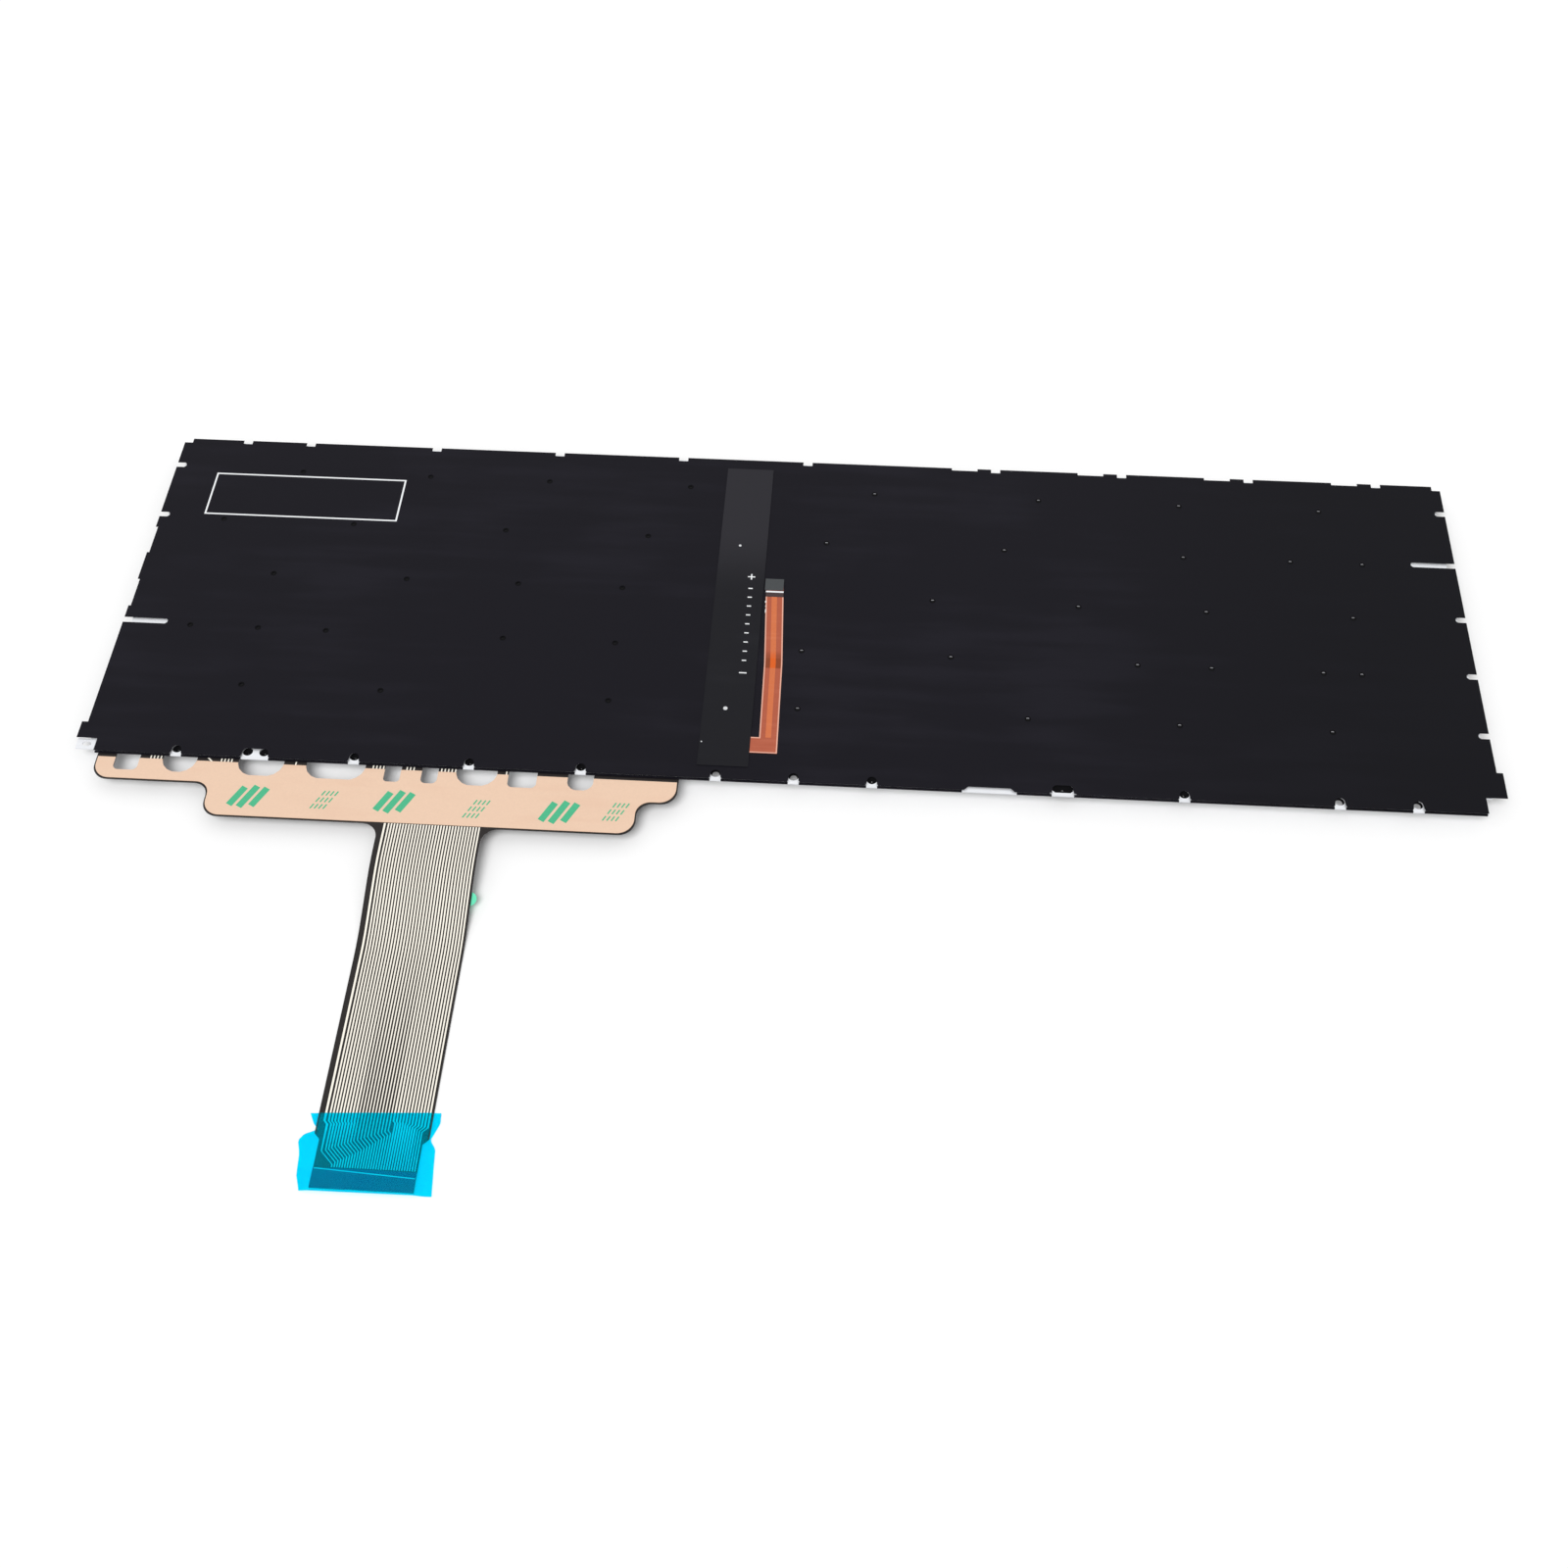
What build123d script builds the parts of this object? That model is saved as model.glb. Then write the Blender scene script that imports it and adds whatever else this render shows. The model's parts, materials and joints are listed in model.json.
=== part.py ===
"""Backlit replacement keyboard of a notebook computer, lying on its key tops with its back up.

X runs across the board, with the number pad at -X. Y runs from the ribbon to the function row.
Z rises from the key tops, at Z = 0, to the back film. The origin is the middle of the board.
"""

import os

from build123d import *

os.makedirs("parts", exist_ok=True)

# Key grid
key_pitch = 18.75
row_pitch = 18.5
main_units = 14.63
keypad_pitch = 17.65
keypad_columns = 4
key_rows = 5
function_keys = 16
function_row_depth = 10.05
front_margin = 4.45
key_gap = 3.1
arrow_gap = 1.5
function_key_depth = 7.6

# Keycaps
cap_height = 2.2
cap_draft = 12.0
cap_corner = 1.0
cap_wall = 1.0
cap_top = 1.0
key_travel = 1.4
press_clearance = 0.3

# Rubber domes
dome_sides = 4
dome_radius = 2.8
dome_draft = 18.0

# Layer thicknesses, from the keys to the back
membrane_thickness = 0.25
plate_thickness = 0.4
guide_thickness = 0.35
film_thickness = 0.15
flex_thickness = 0.12
cover_thickness = 0.08

# Sides of a small round cut
round_sides = 8

# Base plate
plate_side_inset = 2.0
plate_rear_inset = 0.6
plate_front_lip = 0.25
screw_radius = 1.25
screw_edge = 1.9
screw_units = (1.07, 2.06, 4.03, 8.03, 9.04, 10.05, 11.8, 13.26)
wide_screw_units = 5.58
wide_screw_length = 5.2
paired_screws = (25.0, 29.1)
keypad_screws = (2.6, *paired_screws, 46.6)
ear_length = 5.0
ear_reach = 1.2
ear_depth = 3.0
ear_slot_length = 2.2
ear_slot_width = 1.3

# Back film
notch_radius = 1.25
rear_notch_keys = (1, 3, 5, 7, 10, 12, 14, 16)
rear_notch_columns = (2, 3)
recess_keys = (1, 3, 5, 7)
recess_width = 7.0
recess_depth = 0.8
recess_offset = 8.45
slot_width = 1.75
slot_depth = 2.6
long_slot_depth = 11.5
left_slot_rows = (4, 5)
right_slot_rows = (1, 2, 3, 5)
long_slot_rows = (2, 4)
side_recess_rows = (2, 3)
side_recess_depth = 0.6
side_recess_length = 9.2
screw_notch_width = 3.0
wide_notch_width = 6.4
front_recess_units = 6.52
front_recess_width = 12.2
front_recess_depth = 1.0
front_recess_slope = 45.0
tab_reach = 1.5
left_tab_length = 4.8
right_tab_length = 7.4
corner_cut_width = 3.7
left_cut_depth = 3.6
right_cut_depth = 4.6
rear_step_width = 2.2
rear_step_depth = 1.5
pinhole_radius = 0.55
pinhole_sides = 6
pinhole_offset = 0.9
pinhole_units = {
    5: (1.79, 3.78, 5.79, 8.15, 10.82, 12.88),
    4: (1.29, 2.29, 3.78, 6.29, 8.8, 11.34, 13.38),
    3: (1.53, 3.53, 5.28, 7.29, 11.6, 13.06),
    2: (1.53, 2.04, 3.53, 4.52, 7.03, 9.05, 11.59, 13.13),
    1: (2.03, 4.02, 6.01, 9.05, 11.57),
}
pinhole_columns = {5: (0, 2), 4: (1, 3), 3: (0, 2), 2: (1, 2, 3), 1: (0, 2)}

# Backlight
guide_inset = 4.0
guide_slot_margin = 1.0
strip_units = 9.97
strip_width = 12.5
strip_margin = 3.6
strip_overlap = 0.5
led_rows = 2
led_count = 9
led_pitch = 9.0
led_spread = 5.0
led_length = 1.6
led_width = 0.8
led_height = 0.45
led_clearance = 0.6
tail_flex_width = 4.6
tail_flex_length = 56.0
tail_flex_gap = 0.5
tail_flex_drift = 1.3
foot_drift = 0.35
foot_margin = 8.0
foot_length = 4.7
flex_end_length = 3.8
flex_end_overlap = 0.1
flex_end_thickness = 0.2

# Membrane flange and ribbon
membrane_inset = 2.0
membrane_front_inset = 4.0
flange_left = 4.7
flange_right = 147.7
flange_reach = 7.7
apron_left = 34.0
apron_right = 138.5
apron_reach = 17.0
flange_corner = 4.0
flange_hollow = 3.6
ribbon_fillet = 4.0
ribbon_left = 77.3
ribbon_width = 25.0
ribbon_stub = 1.0
ribbon_flat = 6.0
ribbon_drop_run = 19.0
ribbon_drop_radius = 45.0
ribbon_reach = 107.0
contact_width = 22.4
contact_length = 11.0
cutout_reach = 4.9
cutout_round = 0.35
cutout_spans = (
    (9.4, 6.0, 0.8),
    (21.1, 8.4, 2.4),
    (39.8, 11.2, 2.4),
    (56.6, 14.5, 2.4),
    (76.0, 4.0, 0.6),
    (85.1, 4.0, 0.8),
    (93.5, 10.0, 2.4),
    (106.3, 7.0, 0.8),
    (120.8, 6.3, 1.5),
)

# Tape, stiffener and protective film
tape_thickness = 0.15
tape_border = 0.35
tape_front_gap = 1.3
stiffener_length = 4.5
stiffener_thickness = 0.2
wrap_thickness = 0.08
wrap_overhang = 2.8
wrap_neck = 1.4
wrap_length = 18.0
wrap_neck_shares = (0.5, 0.7, 0.85)
wrap_end_overhang = 0.5

# Places worked out from the sizes above
board_width = main_units * key_pitch + keypad_columns * keypad_pitch
board_depth = front_margin + key_rows * row_pitch + function_row_depth
left_edge = -board_width / 2
right_edge = board_width / 2
front_edge = -board_depth / 2
rear_edge = board_depth / 2
keypad_line = left_edge + keypad_columns * keypad_pitch
function_pitch = (right_edge - keypad_line) / function_keys
row_lines = [front_edge + front_margin + row_pitch * row for row in range(key_rows + 1)]

membrane_z = cap_height + key_travel + press_clearance
plate_z = membrane_z + membrane_thickness
guide_z = plate_z + plate_thickness
film_z = guide_z + guide_thickness
flex_z = film_z + film_thickness
cover_z = flex_z + flex_thickness
tape_z = membrane_z + membrane_thickness

plate_front = front_edge - plate_front_lip
screw_y = front_edge + screw_edge
screw_x = [right_edge - units * key_pitch for units in screw_units]
screw_x += [keypad_line - distance for distance in keypad_screws]
pair_x = [keypad_line - distance for distance in paired_screws]
wide_screw_x = right_edge - wide_screw_units * key_pitch
strip_x = right_edge - strip_units * key_pitch
strip_depth = board_depth - 2 * strip_margin
strip_edge = strip_x + strip_width / 2
membrane_front = front_edge + membrane_front_inset
flange_front = front_edge - flange_reach
apron_front = front_edge - apron_reach
ribbon_start = apron_front - ribbon_fillet - ribbon_stub
ribbon_end = front_edge - ribbon_reach
ribbon_x = left_edge + ribbon_left + ribbon_width / 2
ribbon_right = left_edge + ribbon_left + ribbon_width
stiffener_z = membrane_thickness
wrap_z = stiffener_z + stiffener_thickness

# Key layout, each row from the user's left, in key units
row_names = {
    3: ["tab", *"qwertyuiop", "bracket_left", "bracket_right"],
    2: ["caps_lock", *"asdfghjkl", "semicolon", "quote", "hash"],
    1: ["shift_left", "backslash", *"zxcvbnm", "comma", "period", "slash", "shift_right"],
}
row_first_units = {3: 1.5, 2: 1.75, 1: 1.25}
number_key_count = 13
control_units = 1.06
modifier_count = 3
space_units = 5.0
right_control_units = 1.54
arrow_columns = 3


def cell(left_units, right_units, row, rows=1):
    """The cell of a main-block key, as its x limits and y limits."""
    x_limits = (right_edge - right_units * key_pitch, right_edge - left_units * key_pitch)
    return *x_limits, row_lines[row], row_lines[row + rows]


def keypad_cell(column, row, columns=1, rows=1):
    """The cell of a number-pad key, with column 0 beside the main block."""
    right = keypad_line - column * keypad_pitch
    return right - columns * keypad_pitch, right, row_lines[row], row_lines[row + rows]


def middle(key_cell):
    """The middle of a cell."""
    return (key_cell[0] + key_cell[1]) / 2, (key_cell[2] + key_cell[3]) / 2


def cap_section(cells, height, inset):
    """A section of a cap over one cell, or over several that join, set in from its skirt."""
    with BuildSketch(Plane.XY.offset(height)) as section:
        for key_cell in cells:
            with Locations(middle(key_cell)):
                Rectangle(
                    key_cell[1] - key_cell[0] - key_gap - 2 * inset,
                    key_cell[3] - key_cell[2] - key_gap - 2 * inset,
                )
    return section


def sides(part):
    """The upright faces of a part."""
    return part.faces().filter_by(Axis.Z, reverse=True)


def make_keycap(cells):
    """One hollow cap that narrows from its skirt to its top face."""
    with BuildPart() as cap:
        with cap_section(cells, 0, 0) as outline:
            chamfer(outline.vertices(), cap_corner)
        extrude(outline.sketch, amount=cap_height)
        draft(sides(cap), Plane.XY.offset(cap_height), -cap_draft)
        hollow = cap_section(cells, cap_top, cap_wall)
        extrude(hollow.sketch, amount=cap_height - cap_top, mode=Mode.SUBTRACT)
    return cap.part


def cut_slots(places, size_x, size_y):
    """Cut slots with rounded ends, or small round holes, out of the current sketch."""
    across = min(size_x, size_y)
    end_x = (size_x - across) / 2
    end_y = (size_y - across) / 2
    for x, y in places:
        with Locations((x - end_x, y - end_y), (x + end_x, y + end_y)):
            RegularPolygon(
                across / 2,
                round_sides,
                major_radius=False,
                rotation=180 / round_sides,
                mode=Mode.SUBTRACT,
            )
        with Locations((x, y)):
            Rectangle(max(2 * end_x, across), max(2 * end_y, across), mode=Mode.SUBTRACT)


# Cells of the keys that travel one by one: three letter rows, Enter and the space bar
typing_cells = {}
for row, names in row_names.items():
    row_end = row_first_units[row]
    typing_cells[names[0]] = [cell(0, row_end, row)]
    for name in names[1:]:
        next_end = main_units if name == "shift_right" else row_end + 1
        typing_cells[name] = [cell(row_end, next_end, row)]
        row_end = next_end
enter_upper_units = row_first_units[3] + len(row_names[3]) - 1
enter_lower_units = row_first_units[2] + len(row_names[2]) - 1
enter_upper = cell(enter_upper_units, main_units, 3)
enter_lower = cell(enter_lower_units, main_units, 2, rows=2)
typing_cells["enter"] = [enter_lower, enter_upper]
space_start = control_units + modifier_count
space_end = space_start + space_units
typing_cells["space"] = [cell(space_start, space_end, 0)]

# Cells of the keys that stay in rows
function_limits = (row_lines[key_rows], row_lines[key_rows] + function_key_depth + key_gap)
function_cells = []
for key in range(function_keys):
    key_right = right_edge - key * function_pitch
    function_cells.append((key_right - function_pitch, key_right, *function_limits))
for column in range(keypad_columns):
    key_right = keypad_line - column * keypad_pitch
    function_cells.append((key_right - keypad_pitch, key_right, *function_limits))

number_cells = [cell(key, key + 1, 4) for key in range(number_key_count)]
number_cells.append(cell(number_key_count, main_units, 4))

lower_cells = [cell(0, control_units, 0)]
for key in range(modifier_count):
    lower_cells.append(cell(control_units + key, control_units + key + 1, 0))
arrow_start = space_end + 1 + right_control_units
arrow_units = (main_units - arrow_start) / arrow_columns
lower_cells.append(cell(space_end, space_end + 1, 0))
lower_cells.append(cell(space_end + 1, arrow_start, 0))
for column in (0, 2):
    arrow_left = arrow_start + column * arrow_units
    lower_cells.append(cell(arrow_left, arrow_left + arrow_units, 0))
up_down = cell(arrow_start + arrow_units, arrow_start + 2 * arrow_units, 0)
up_down_line = middle(up_down)[1]
arrow_overlap = (key_gap - arrow_gap) / 2
lower_cells.append((*up_down[:3], up_down_line + arrow_overlap))
lower_cells.append((*up_down[:2], up_down_line - arrow_overlap, up_down[3]))

keypad_cells = [keypad_cell(column, 4) for column in range(keypad_columns)]
for row in (3, 2, 1):
    keypad_cells += [keypad_cell(column, row) for column in range(keypad_columns - 1)]
keypad_cells.append(keypad_cell(keypad_columns - 1, 2, rows=2))
keypad_cells.append(keypad_cell(keypad_columns - 1, 0, rows=2))
keypad_cells.append(keypad_cell(0, 0, columns=2))
keypad_cells.append(keypad_cell(2, 0))

# Keycaps
for key_name, key_cells in typing_cells.items():
    with BuildPart() as keycap:
        add(make_keycap(key_cells))
    keycap.part.label = f"key_{key_name}"
    export_step(keycap.part, f"parts/key_{key_name}.step")

key_groups = {
    "function_row_keys": function_cells,
    "number_row_keys": number_cells,
    "lower_row_keys": lower_cells,
    "keypad_keys": keypad_cells,
}
for group_name, group_cells in key_groups.items():
    with BuildPart() as key_group:
        add([make_keycap([key_cell]) for key_cell in group_cells])
    key_group.part.label = group_name
    export_step(key_group.part, f"parts/{group_name}.step")

# Rubber domes, from the membrane up into each cap
with BuildPart() as dome:
    with BuildSketch(Plane.XY.offset(cap_top)):
        RegularPolygon(dome_radius, dome_sides)
    extrude(amount=membrane_z - cap_top)
    draft(sides(dome), Plane.XY.offset(membrane_z), -dome_draft)
dome_places = [middle(key_cells[0]) for key_cells in typing_cells.values()]
for group_cells in key_groups.values():
    dome_places += [middle(key_cell) for key_cell in group_cells]
with BuildPart() as rubber_domes:
    with Locations(*dome_places):
        add(dome.part)
rubber_domes.part.label = "rubber_domes"
export_step(rubber_domes.part, "parts/rubber_domes.step")

# Base plate with its screw holes, front-left ear and cut front corners
plate_width = board_width - 2 * plate_side_inset
plate_rear = rear_edge - plate_rear_inset
ear_left = left_edge - ear_reach
ear_rear = front_edge + left_cut_depth
with BuildPart() as base_plate:
    with BuildSketch(Plane.XY.offset(plate_z)):
        with Locations((0, (plate_front + plate_rear) / 2)):
            Rectangle(plate_width, plate_rear - plate_front)
        with Locations((ear_left, ear_rear)):
            Rectangle(ear_length, ear_depth, align=(Align.MIN, Align.MAX))
        with Locations((left_edge, front_edge)):
            Rectangle(2 * corner_cut_width, 2 * (left_cut_depth - ear_depth), mode=Mode.SUBTRACT)
        with Locations((right_edge, front_edge)):
            Rectangle(2 * corner_cut_width, 2 * right_cut_depth, mode=Mode.SUBTRACT)
        with Locations(*[(x, screw_y) for x in screw_x]):
            Circle(screw_radius, mode=Mode.SUBTRACT)
        cut_slots([(wide_screw_x, screw_y)], wide_screw_length, 2 * screw_radius)
        cut_slots([(ear_left + ear_length / 2, ear_rear - ear_depth / 2)], ear_slot_length, ear_slot_width)
    extrude(amount=plate_thickness)
base_plate.part.label = "base_plate"
export_step(base_plate.part, "parts/base_plate.step")

# Light guide with the slot for the LEDs and room for the two long side slots
guide_width = board_width - 2 * guide_inset
led_row_length = (led_count - 1) * led_pitch + led_length
led_slot_width = led_spread + led_width + 2 * led_clearance
led_slot_length = led_row_length + 2 * led_clearance
guide_front = front_edge + screw_edge + screw_radius + guide_slot_margin
guide_rear = rear_edge - guide_inset
long_slot_length = 2 * (long_slot_depth + guide_slot_margin)
long_slots = [(side, row_lines[row]) for side, row in zip((left_edge, right_edge), long_slot_rows)]
with BuildPart() as light_guide:
    with BuildSketch(Plane.XY.offset(guide_z)):
        with Locations((0, (guide_front + guide_rear) / 2)):
            Rectangle(guide_width, guide_rear - guide_front)
        with Locations(*long_slots):
            Rectangle(long_slot_length, slot_width + 2 * guide_slot_margin, mode=Mode.SUBTRACT)
        with Locations((strip_x, 0)):
            Rectangle(led_slot_width, led_slot_length, mode=Mode.SUBTRACT)
    extrude(amount=guide_thickness)
light_guide.part.label = "light_guide"
export_step(light_guide.part, "parts/light_guide.step")

# Back film with its edge notches, side slots, screw notches and pinholes
rear_notches = [right_edge - keys * function_pitch for keys in rear_notch_keys]
rear_notches += [keypad_line - column * keypad_pitch for column in rear_notch_columns]
rear_recesses = [right_edge - keys * function_pitch - recess_offset for keys in recess_keys]
left_slots = [(left_edge, row_lines[row]) for row in left_slot_rows]
right_slots = [(right_edge, row_lines[row]) for row in right_slot_rows]
screw_notch_depth = screw_edge + screw_notch_width / 2
pinholes = []
for row, places in pinhole_units.items():
    pinholes += [(right_edge - units * key_pitch, row_lines[row] - pinhole_offset) for units in places]
for row, columns in pinhole_columns.items():
    pinholes += [(keypad_line - column * keypad_pitch, row_lines[row] - pinhole_offset) for column in columns]
with BuildPart() as shade_film:
    with BuildSketch(Plane.XY.offset(film_z)):
        Rectangle(board_width, board_depth)
        with Locations((left_edge, front_edge + left_cut_depth)):
            Rectangle(2 * tab_reach, left_tab_length, align=(Align.CENTER, Align.MIN))
        with Locations((right_edge, front_edge + right_cut_depth)):
            Rectangle(2 * tab_reach, right_tab_length, align=(Align.CENTER, Align.MIN))
        with Locations((left_edge, front_edge)):
            Rectangle(2 * corner_cut_width, 2 * left_cut_depth, mode=Mode.SUBTRACT)
        with Locations((right_edge, front_edge)):
            Rectangle(2 * corner_cut_width, 2 * right_cut_depth, mode=Mode.SUBTRACT)
        with Locations((left_edge, rear_edge), (right_edge, rear_edge)):
            Rectangle(2 * rear_step_width, 2 * rear_step_depth, mode=Mode.SUBTRACT)
        cut_slots([(x, rear_edge) for x in rear_notches], 2 * notch_radius, 2 * notch_radius)
        with Locations(*[(x, rear_edge) for x in rear_recesses]):
            Rectangle(recess_width, 2 * recess_depth, mode=Mode.SUBTRACT)
        cut_slots(left_slots + right_slots, 2 * slot_depth, slot_width)
        cut_slots(long_slots, 2 * long_slot_depth, slot_width)
        with Locations(*[(left_edge, (row_lines[row] + row_lines[row + 1]) / 2) for row in side_recess_rows]):
            Rectangle(2 * side_recess_depth, side_recess_length, mode=Mode.SUBTRACT)
        cut_slots([(x, front_edge) for x in screw_x], screw_notch_width, 2 * screw_notch_depth)
        with Locations((sum(pair_x) / len(pair_x), front_edge)):
            Rectangle(max(pair_x) - min(pair_x), 2 * screw_notch_depth, mode=Mode.SUBTRACT)
        with Locations((wide_screw_x, front_edge)):
            Rectangle(wide_notch_width, 2 * screw_notch_depth, mode=Mode.SUBTRACT)
        with Locations((right_edge - front_recess_units * key_pitch, front_edge)):
            Trapezoid(
                front_recess_width,
                front_recess_depth,
                front_recess_slope,
                align=(Align.CENTER, Align.MIN),
                mode=Mode.SUBTRACT,
            )
        with Locations((strip_x, 0)):
            Rectangle(led_slot_width, led_slot_length, mode=Mode.SUBTRACT)
        with Locations(*pinholes):
            RegularPolygon(pinhole_radius, pinhole_sides, mode=Mode.SUBTRACT)
    extrude(amount=film_thickness)
shade_film.part.label = "shade_film"
export_step(shade_film.part, "parts/shade_film.step")

# Backlight circuit: the strip, its foot and the tail that lies on the film beside it
tail_left = strip_edge + tail_flex_gap
foot_front = front_edge + foot_margin
tail_rear = foot_front + tail_flex_length
tail_bend = (foot_front + tail_rear) / 2
bend_left = tail_left + tail_flex_drift
foot_left = bend_left + foot_drift
with BuildPart() as led_flex:
    with BuildSketch(Plane.XY.offset(flex_z)):
        with Locations((strip_x, 0)):
            Rectangle(strip_width - 2 * strip_overlap, strip_depth - 2 * strip_overlap)
        with BuildLine():
            Polyline(
                (tail_left, tail_rear),
                (bend_left, tail_bend),
                (foot_left, foot_front + foot_length),
                (strip_x, foot_front + foot_length),
                (strip_x, foot_front),
                (foot_left + tail_flex_width, foot_front),
                (bend_left + tail_flex_width, tail_bend),
                (tail_left + tail_flex_width, tail_rear),
                close=True,
            )
        make_face()
    extrude(amount=flex_thickness)
led_flex.part.label = "led_flex"
export_step(led_flex.part, "parts/led_flex.step")

with BuildPart() as led_cover:
    with BuildSketch(Plane.XY.offset(cover_z)):
        with Locations((strip_x, 0)):
            Rectangle(strip_width, strip_depth)
    extrude(amount=cover_thickness)
led_cover.part.label = "led_cover"
export_step(led_cover.part, "parts/led_cover.step")

with BuildPart() as leds:
    with BuildSketch(Plane.XY.offset(flex_z)):
        with Locations((strip_x, 0)):
            with GridLocations(led_spread, led_pitch, led_rows, led_count):
                Rectangle(led_width, led_length)
    extrude(amount=-led_height)
leds.part.label = "leds"
export_step(leds.part, "parts/leds.step")

with BuildPart() as flex_stiffener:
    with BuildSketch(Plane.XY.offset(cover_z)):
        with Locations((tail_left + tail_flex_width / 2, tail_rear)):
            Rectangle(
                tail_flex_width + 2 * flex_end_overlap,
                flex_end_length,
                align=(Align.CENTER, Align.MAX),
            )
    extrude(amount=flex_end_thickness)
flex_stiffener.part.label = "flex_stiffener"
export_step(flex_stiffener.part, "parts/flex_stiffener.step")


def flange_corners(border, rear, ribbon_corners=()):
    """Corners and radii of the flange and its apron, set in by a border, from left to right."""
    left = left_edge + flange_left + border
    right = left_edge + flange_right - border
    apron = (left_edge + apron_left + border, left_edge + apron_right - border)
    step = flange_front + border
    front = apron_front + border
    return [
        (left, rear, 0),
        (left, step, flange_corner),
        (apron[0], step, flange_hollow),
        (apron[0], front, flange_corner),
        *ribbon_corners,
        (apron[1], front, flange_corner),
        (apron[1], step, flange_hollow),
        (right, step, flange_corner),
        (right, rear, 0),
    ]


def add_flange(corners):
    """The flange's face, in the current sketch."""
    points = [corner[:2] for corner in corners]
    radii = [corner[2] for corner in corners]
    with BuildLine() as outline:
        FilletPolyline(points, radius=radii, close=True)
    make_face(outline.edges())


def cut_flange():
    """Cut out of the current sketch the flange's openings, which leave room for the screws."""
    cutout_front = front_edge - cutout_reach
    for cutout_left, cutout_width, corner in cutout_spans:
        with BuildSketch(mode=Mode.PRIVATE) as cutout:
            with Locations((left_edge + cutout_left, cutout_front)):
                Rectangle(cutout_width, membrane_front - cutout_front, align=Align.MIN)
            chamfer(cutout.vertices().sort_by(Axis.Y)[:2], corner)
            chamfer(cutout.vertices().sort_by(Axis.Y)[:4], cutout_round * corner)
        add(cutout.sketch, mode=Mode.SUBTRACT)


def ribbon_line(height):
    """One side of the ribbon's bend, seen along X: level, a gentle drop, then flat on the floor."""
    return [
        (ribbon_start, membrane_z + height),
        (ribbon_drop, membrane_z + height),
        (ribbon_drop - ribbon_drop_run, height),
        (ribbon_end, height),
    ]


# Membrane with its flange and the ribbon that drops from the flange to the floor
membrane_width = board_width - 2 * (plate_side_inset + membrane_inset)
membrane_rear = rear_edge - plate_rear_inset - membrane_inset
ribbon_drop = ribbon_start - ribbon_flat
contact_inset = (ribbon_width - contact_width) / 2
stub_corners = [
    (ribbon_right - ribbon_width, apron_front, ribbon_fillet),
    (ribbon_right - ribbon_width, ribbon_start, 0),
    (ribbon_right, ribbon_start, 0),
    (ribbon_right, apron_front, ribbon_fillet),
]
with BuildPart() as membrane:
    with BuildSketch(Plane.XY.offset(membrane_z)):
        add_flange(flange_corners(0, membrane_front, stub_corners))
        cut_flange()
        with Locations((0, (membrane_front + membrane_rear) / 2)):
            Rectangle(membrane_width, membrane_rear - membrane_front)
    extrude(amount=membrane_thickness)
    with BuildSketch(Plane.YZ.offset(ribbon_x - ribbon_width / 2)):
        with BuildLine():
            under = FilletPolyline(*ribbon_line(0), radius=ribbon_drop_radius)
            over = FilletPolyline(*ribbon_line(membrane_thickness), radius=ribbon_drop_radius)
            Line(under @ 0, over @ 0)
            Line(under @ 1, over @ 1)
        make_face()
    extrude(amount=ribbon_width)
    with BuildSketch():
        for side in (-1, 1):
            ribbon_side = ribbon_x + side * ribbon_width / 2
            contact_side = ribbon_side - side * contact_inset
            with BuildLine():
                Polyline(
                    (contact_side, ribbon_end),
                    (contact_side, ribbon_end + contact_length),
                    (ribbon_side, ribbon_end + contact_length + contact_inset),
                    (ribbon_side, ribbon_end),
                    close=True,
                )
            make_face()
    extrude(amount=membrane_thickness, mode=Mode.SUBTRACT)
membrane.part.label = "membrane"
export_step(membrane.part, "parts/membrane.step")

# Double-sided tape with its release liner, on the flange
with BuildPart() as adhesive_tape:
    with BuildSketch(Plane.XY.offset(tape_z)):
        add_flange(flange_corners(tape_border, front_edge - tape_front_gap))
        cut_flange()
    extrude(amount=tape_thickness)
adhesive_tape.part.label = "adhesive_tape"
export_step(adhesive_tape.part, "parts/adhesive_tape.step")

# Stiffener of the contact end
with BuildPart() as ribbon_stiffener:
    with BuildSketch(Plane.XY.offset(stiffener_z)):
        with Locations((ribbon_x, ribbon_end)):
            Rectangle(contact_width, stiffener_length, align=(Align.CENTER, Align.MIN))
    extrude(amount=stiffener_thickness)
ribbon_stiffener.part.label = "ribbon_stiffener"
export_step(ribbon_stiffener.part, "parts/ribbon_stiffener.step")

# Protective film over the contact end, necked where it was pressed round the ribbon
wrap_front = ribbon_end - wrap_end_overhang
wrap_half = ribbon_width / 2 + wrap_overhang
wrap_neck_half = wrap_half - wrap_neck
wrap_halves = (wrap_half, wrap_half, wrap_neck_half, wrap_half, wrap_half)
wrap_y = [wrap_front + share * wrap_length for share in (0, *wrap_neck_shares, 1)]
right_side = [(ribbon_x + half, y) for half, y in zip(wrap_halves, wrap_y)]
left_side = [(ribbon_x - half, y) for half, y in zip(reversed(wrap_halves), reversed(wrap_y))]
with BuildPart() as protective_film:
    with BuildSketch(Plane.XY.offset(wrap_z)):
        with BuildLine():
            Polyline(*right_side, *left_side, close=True)
        make_face()
    extrude(amount=wrap_thickness)
protective_film.part.label = "protective_film"
export_step(protective_film.part, "parts/protective_film.step")
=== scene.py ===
"""Backlit notebook keyboard with its back up: prints, tapes, traces, key lifts and finishes."""

import json
import math

import bmesh
import bpy
from mathutils import Matrix, Vector, noise


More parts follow.
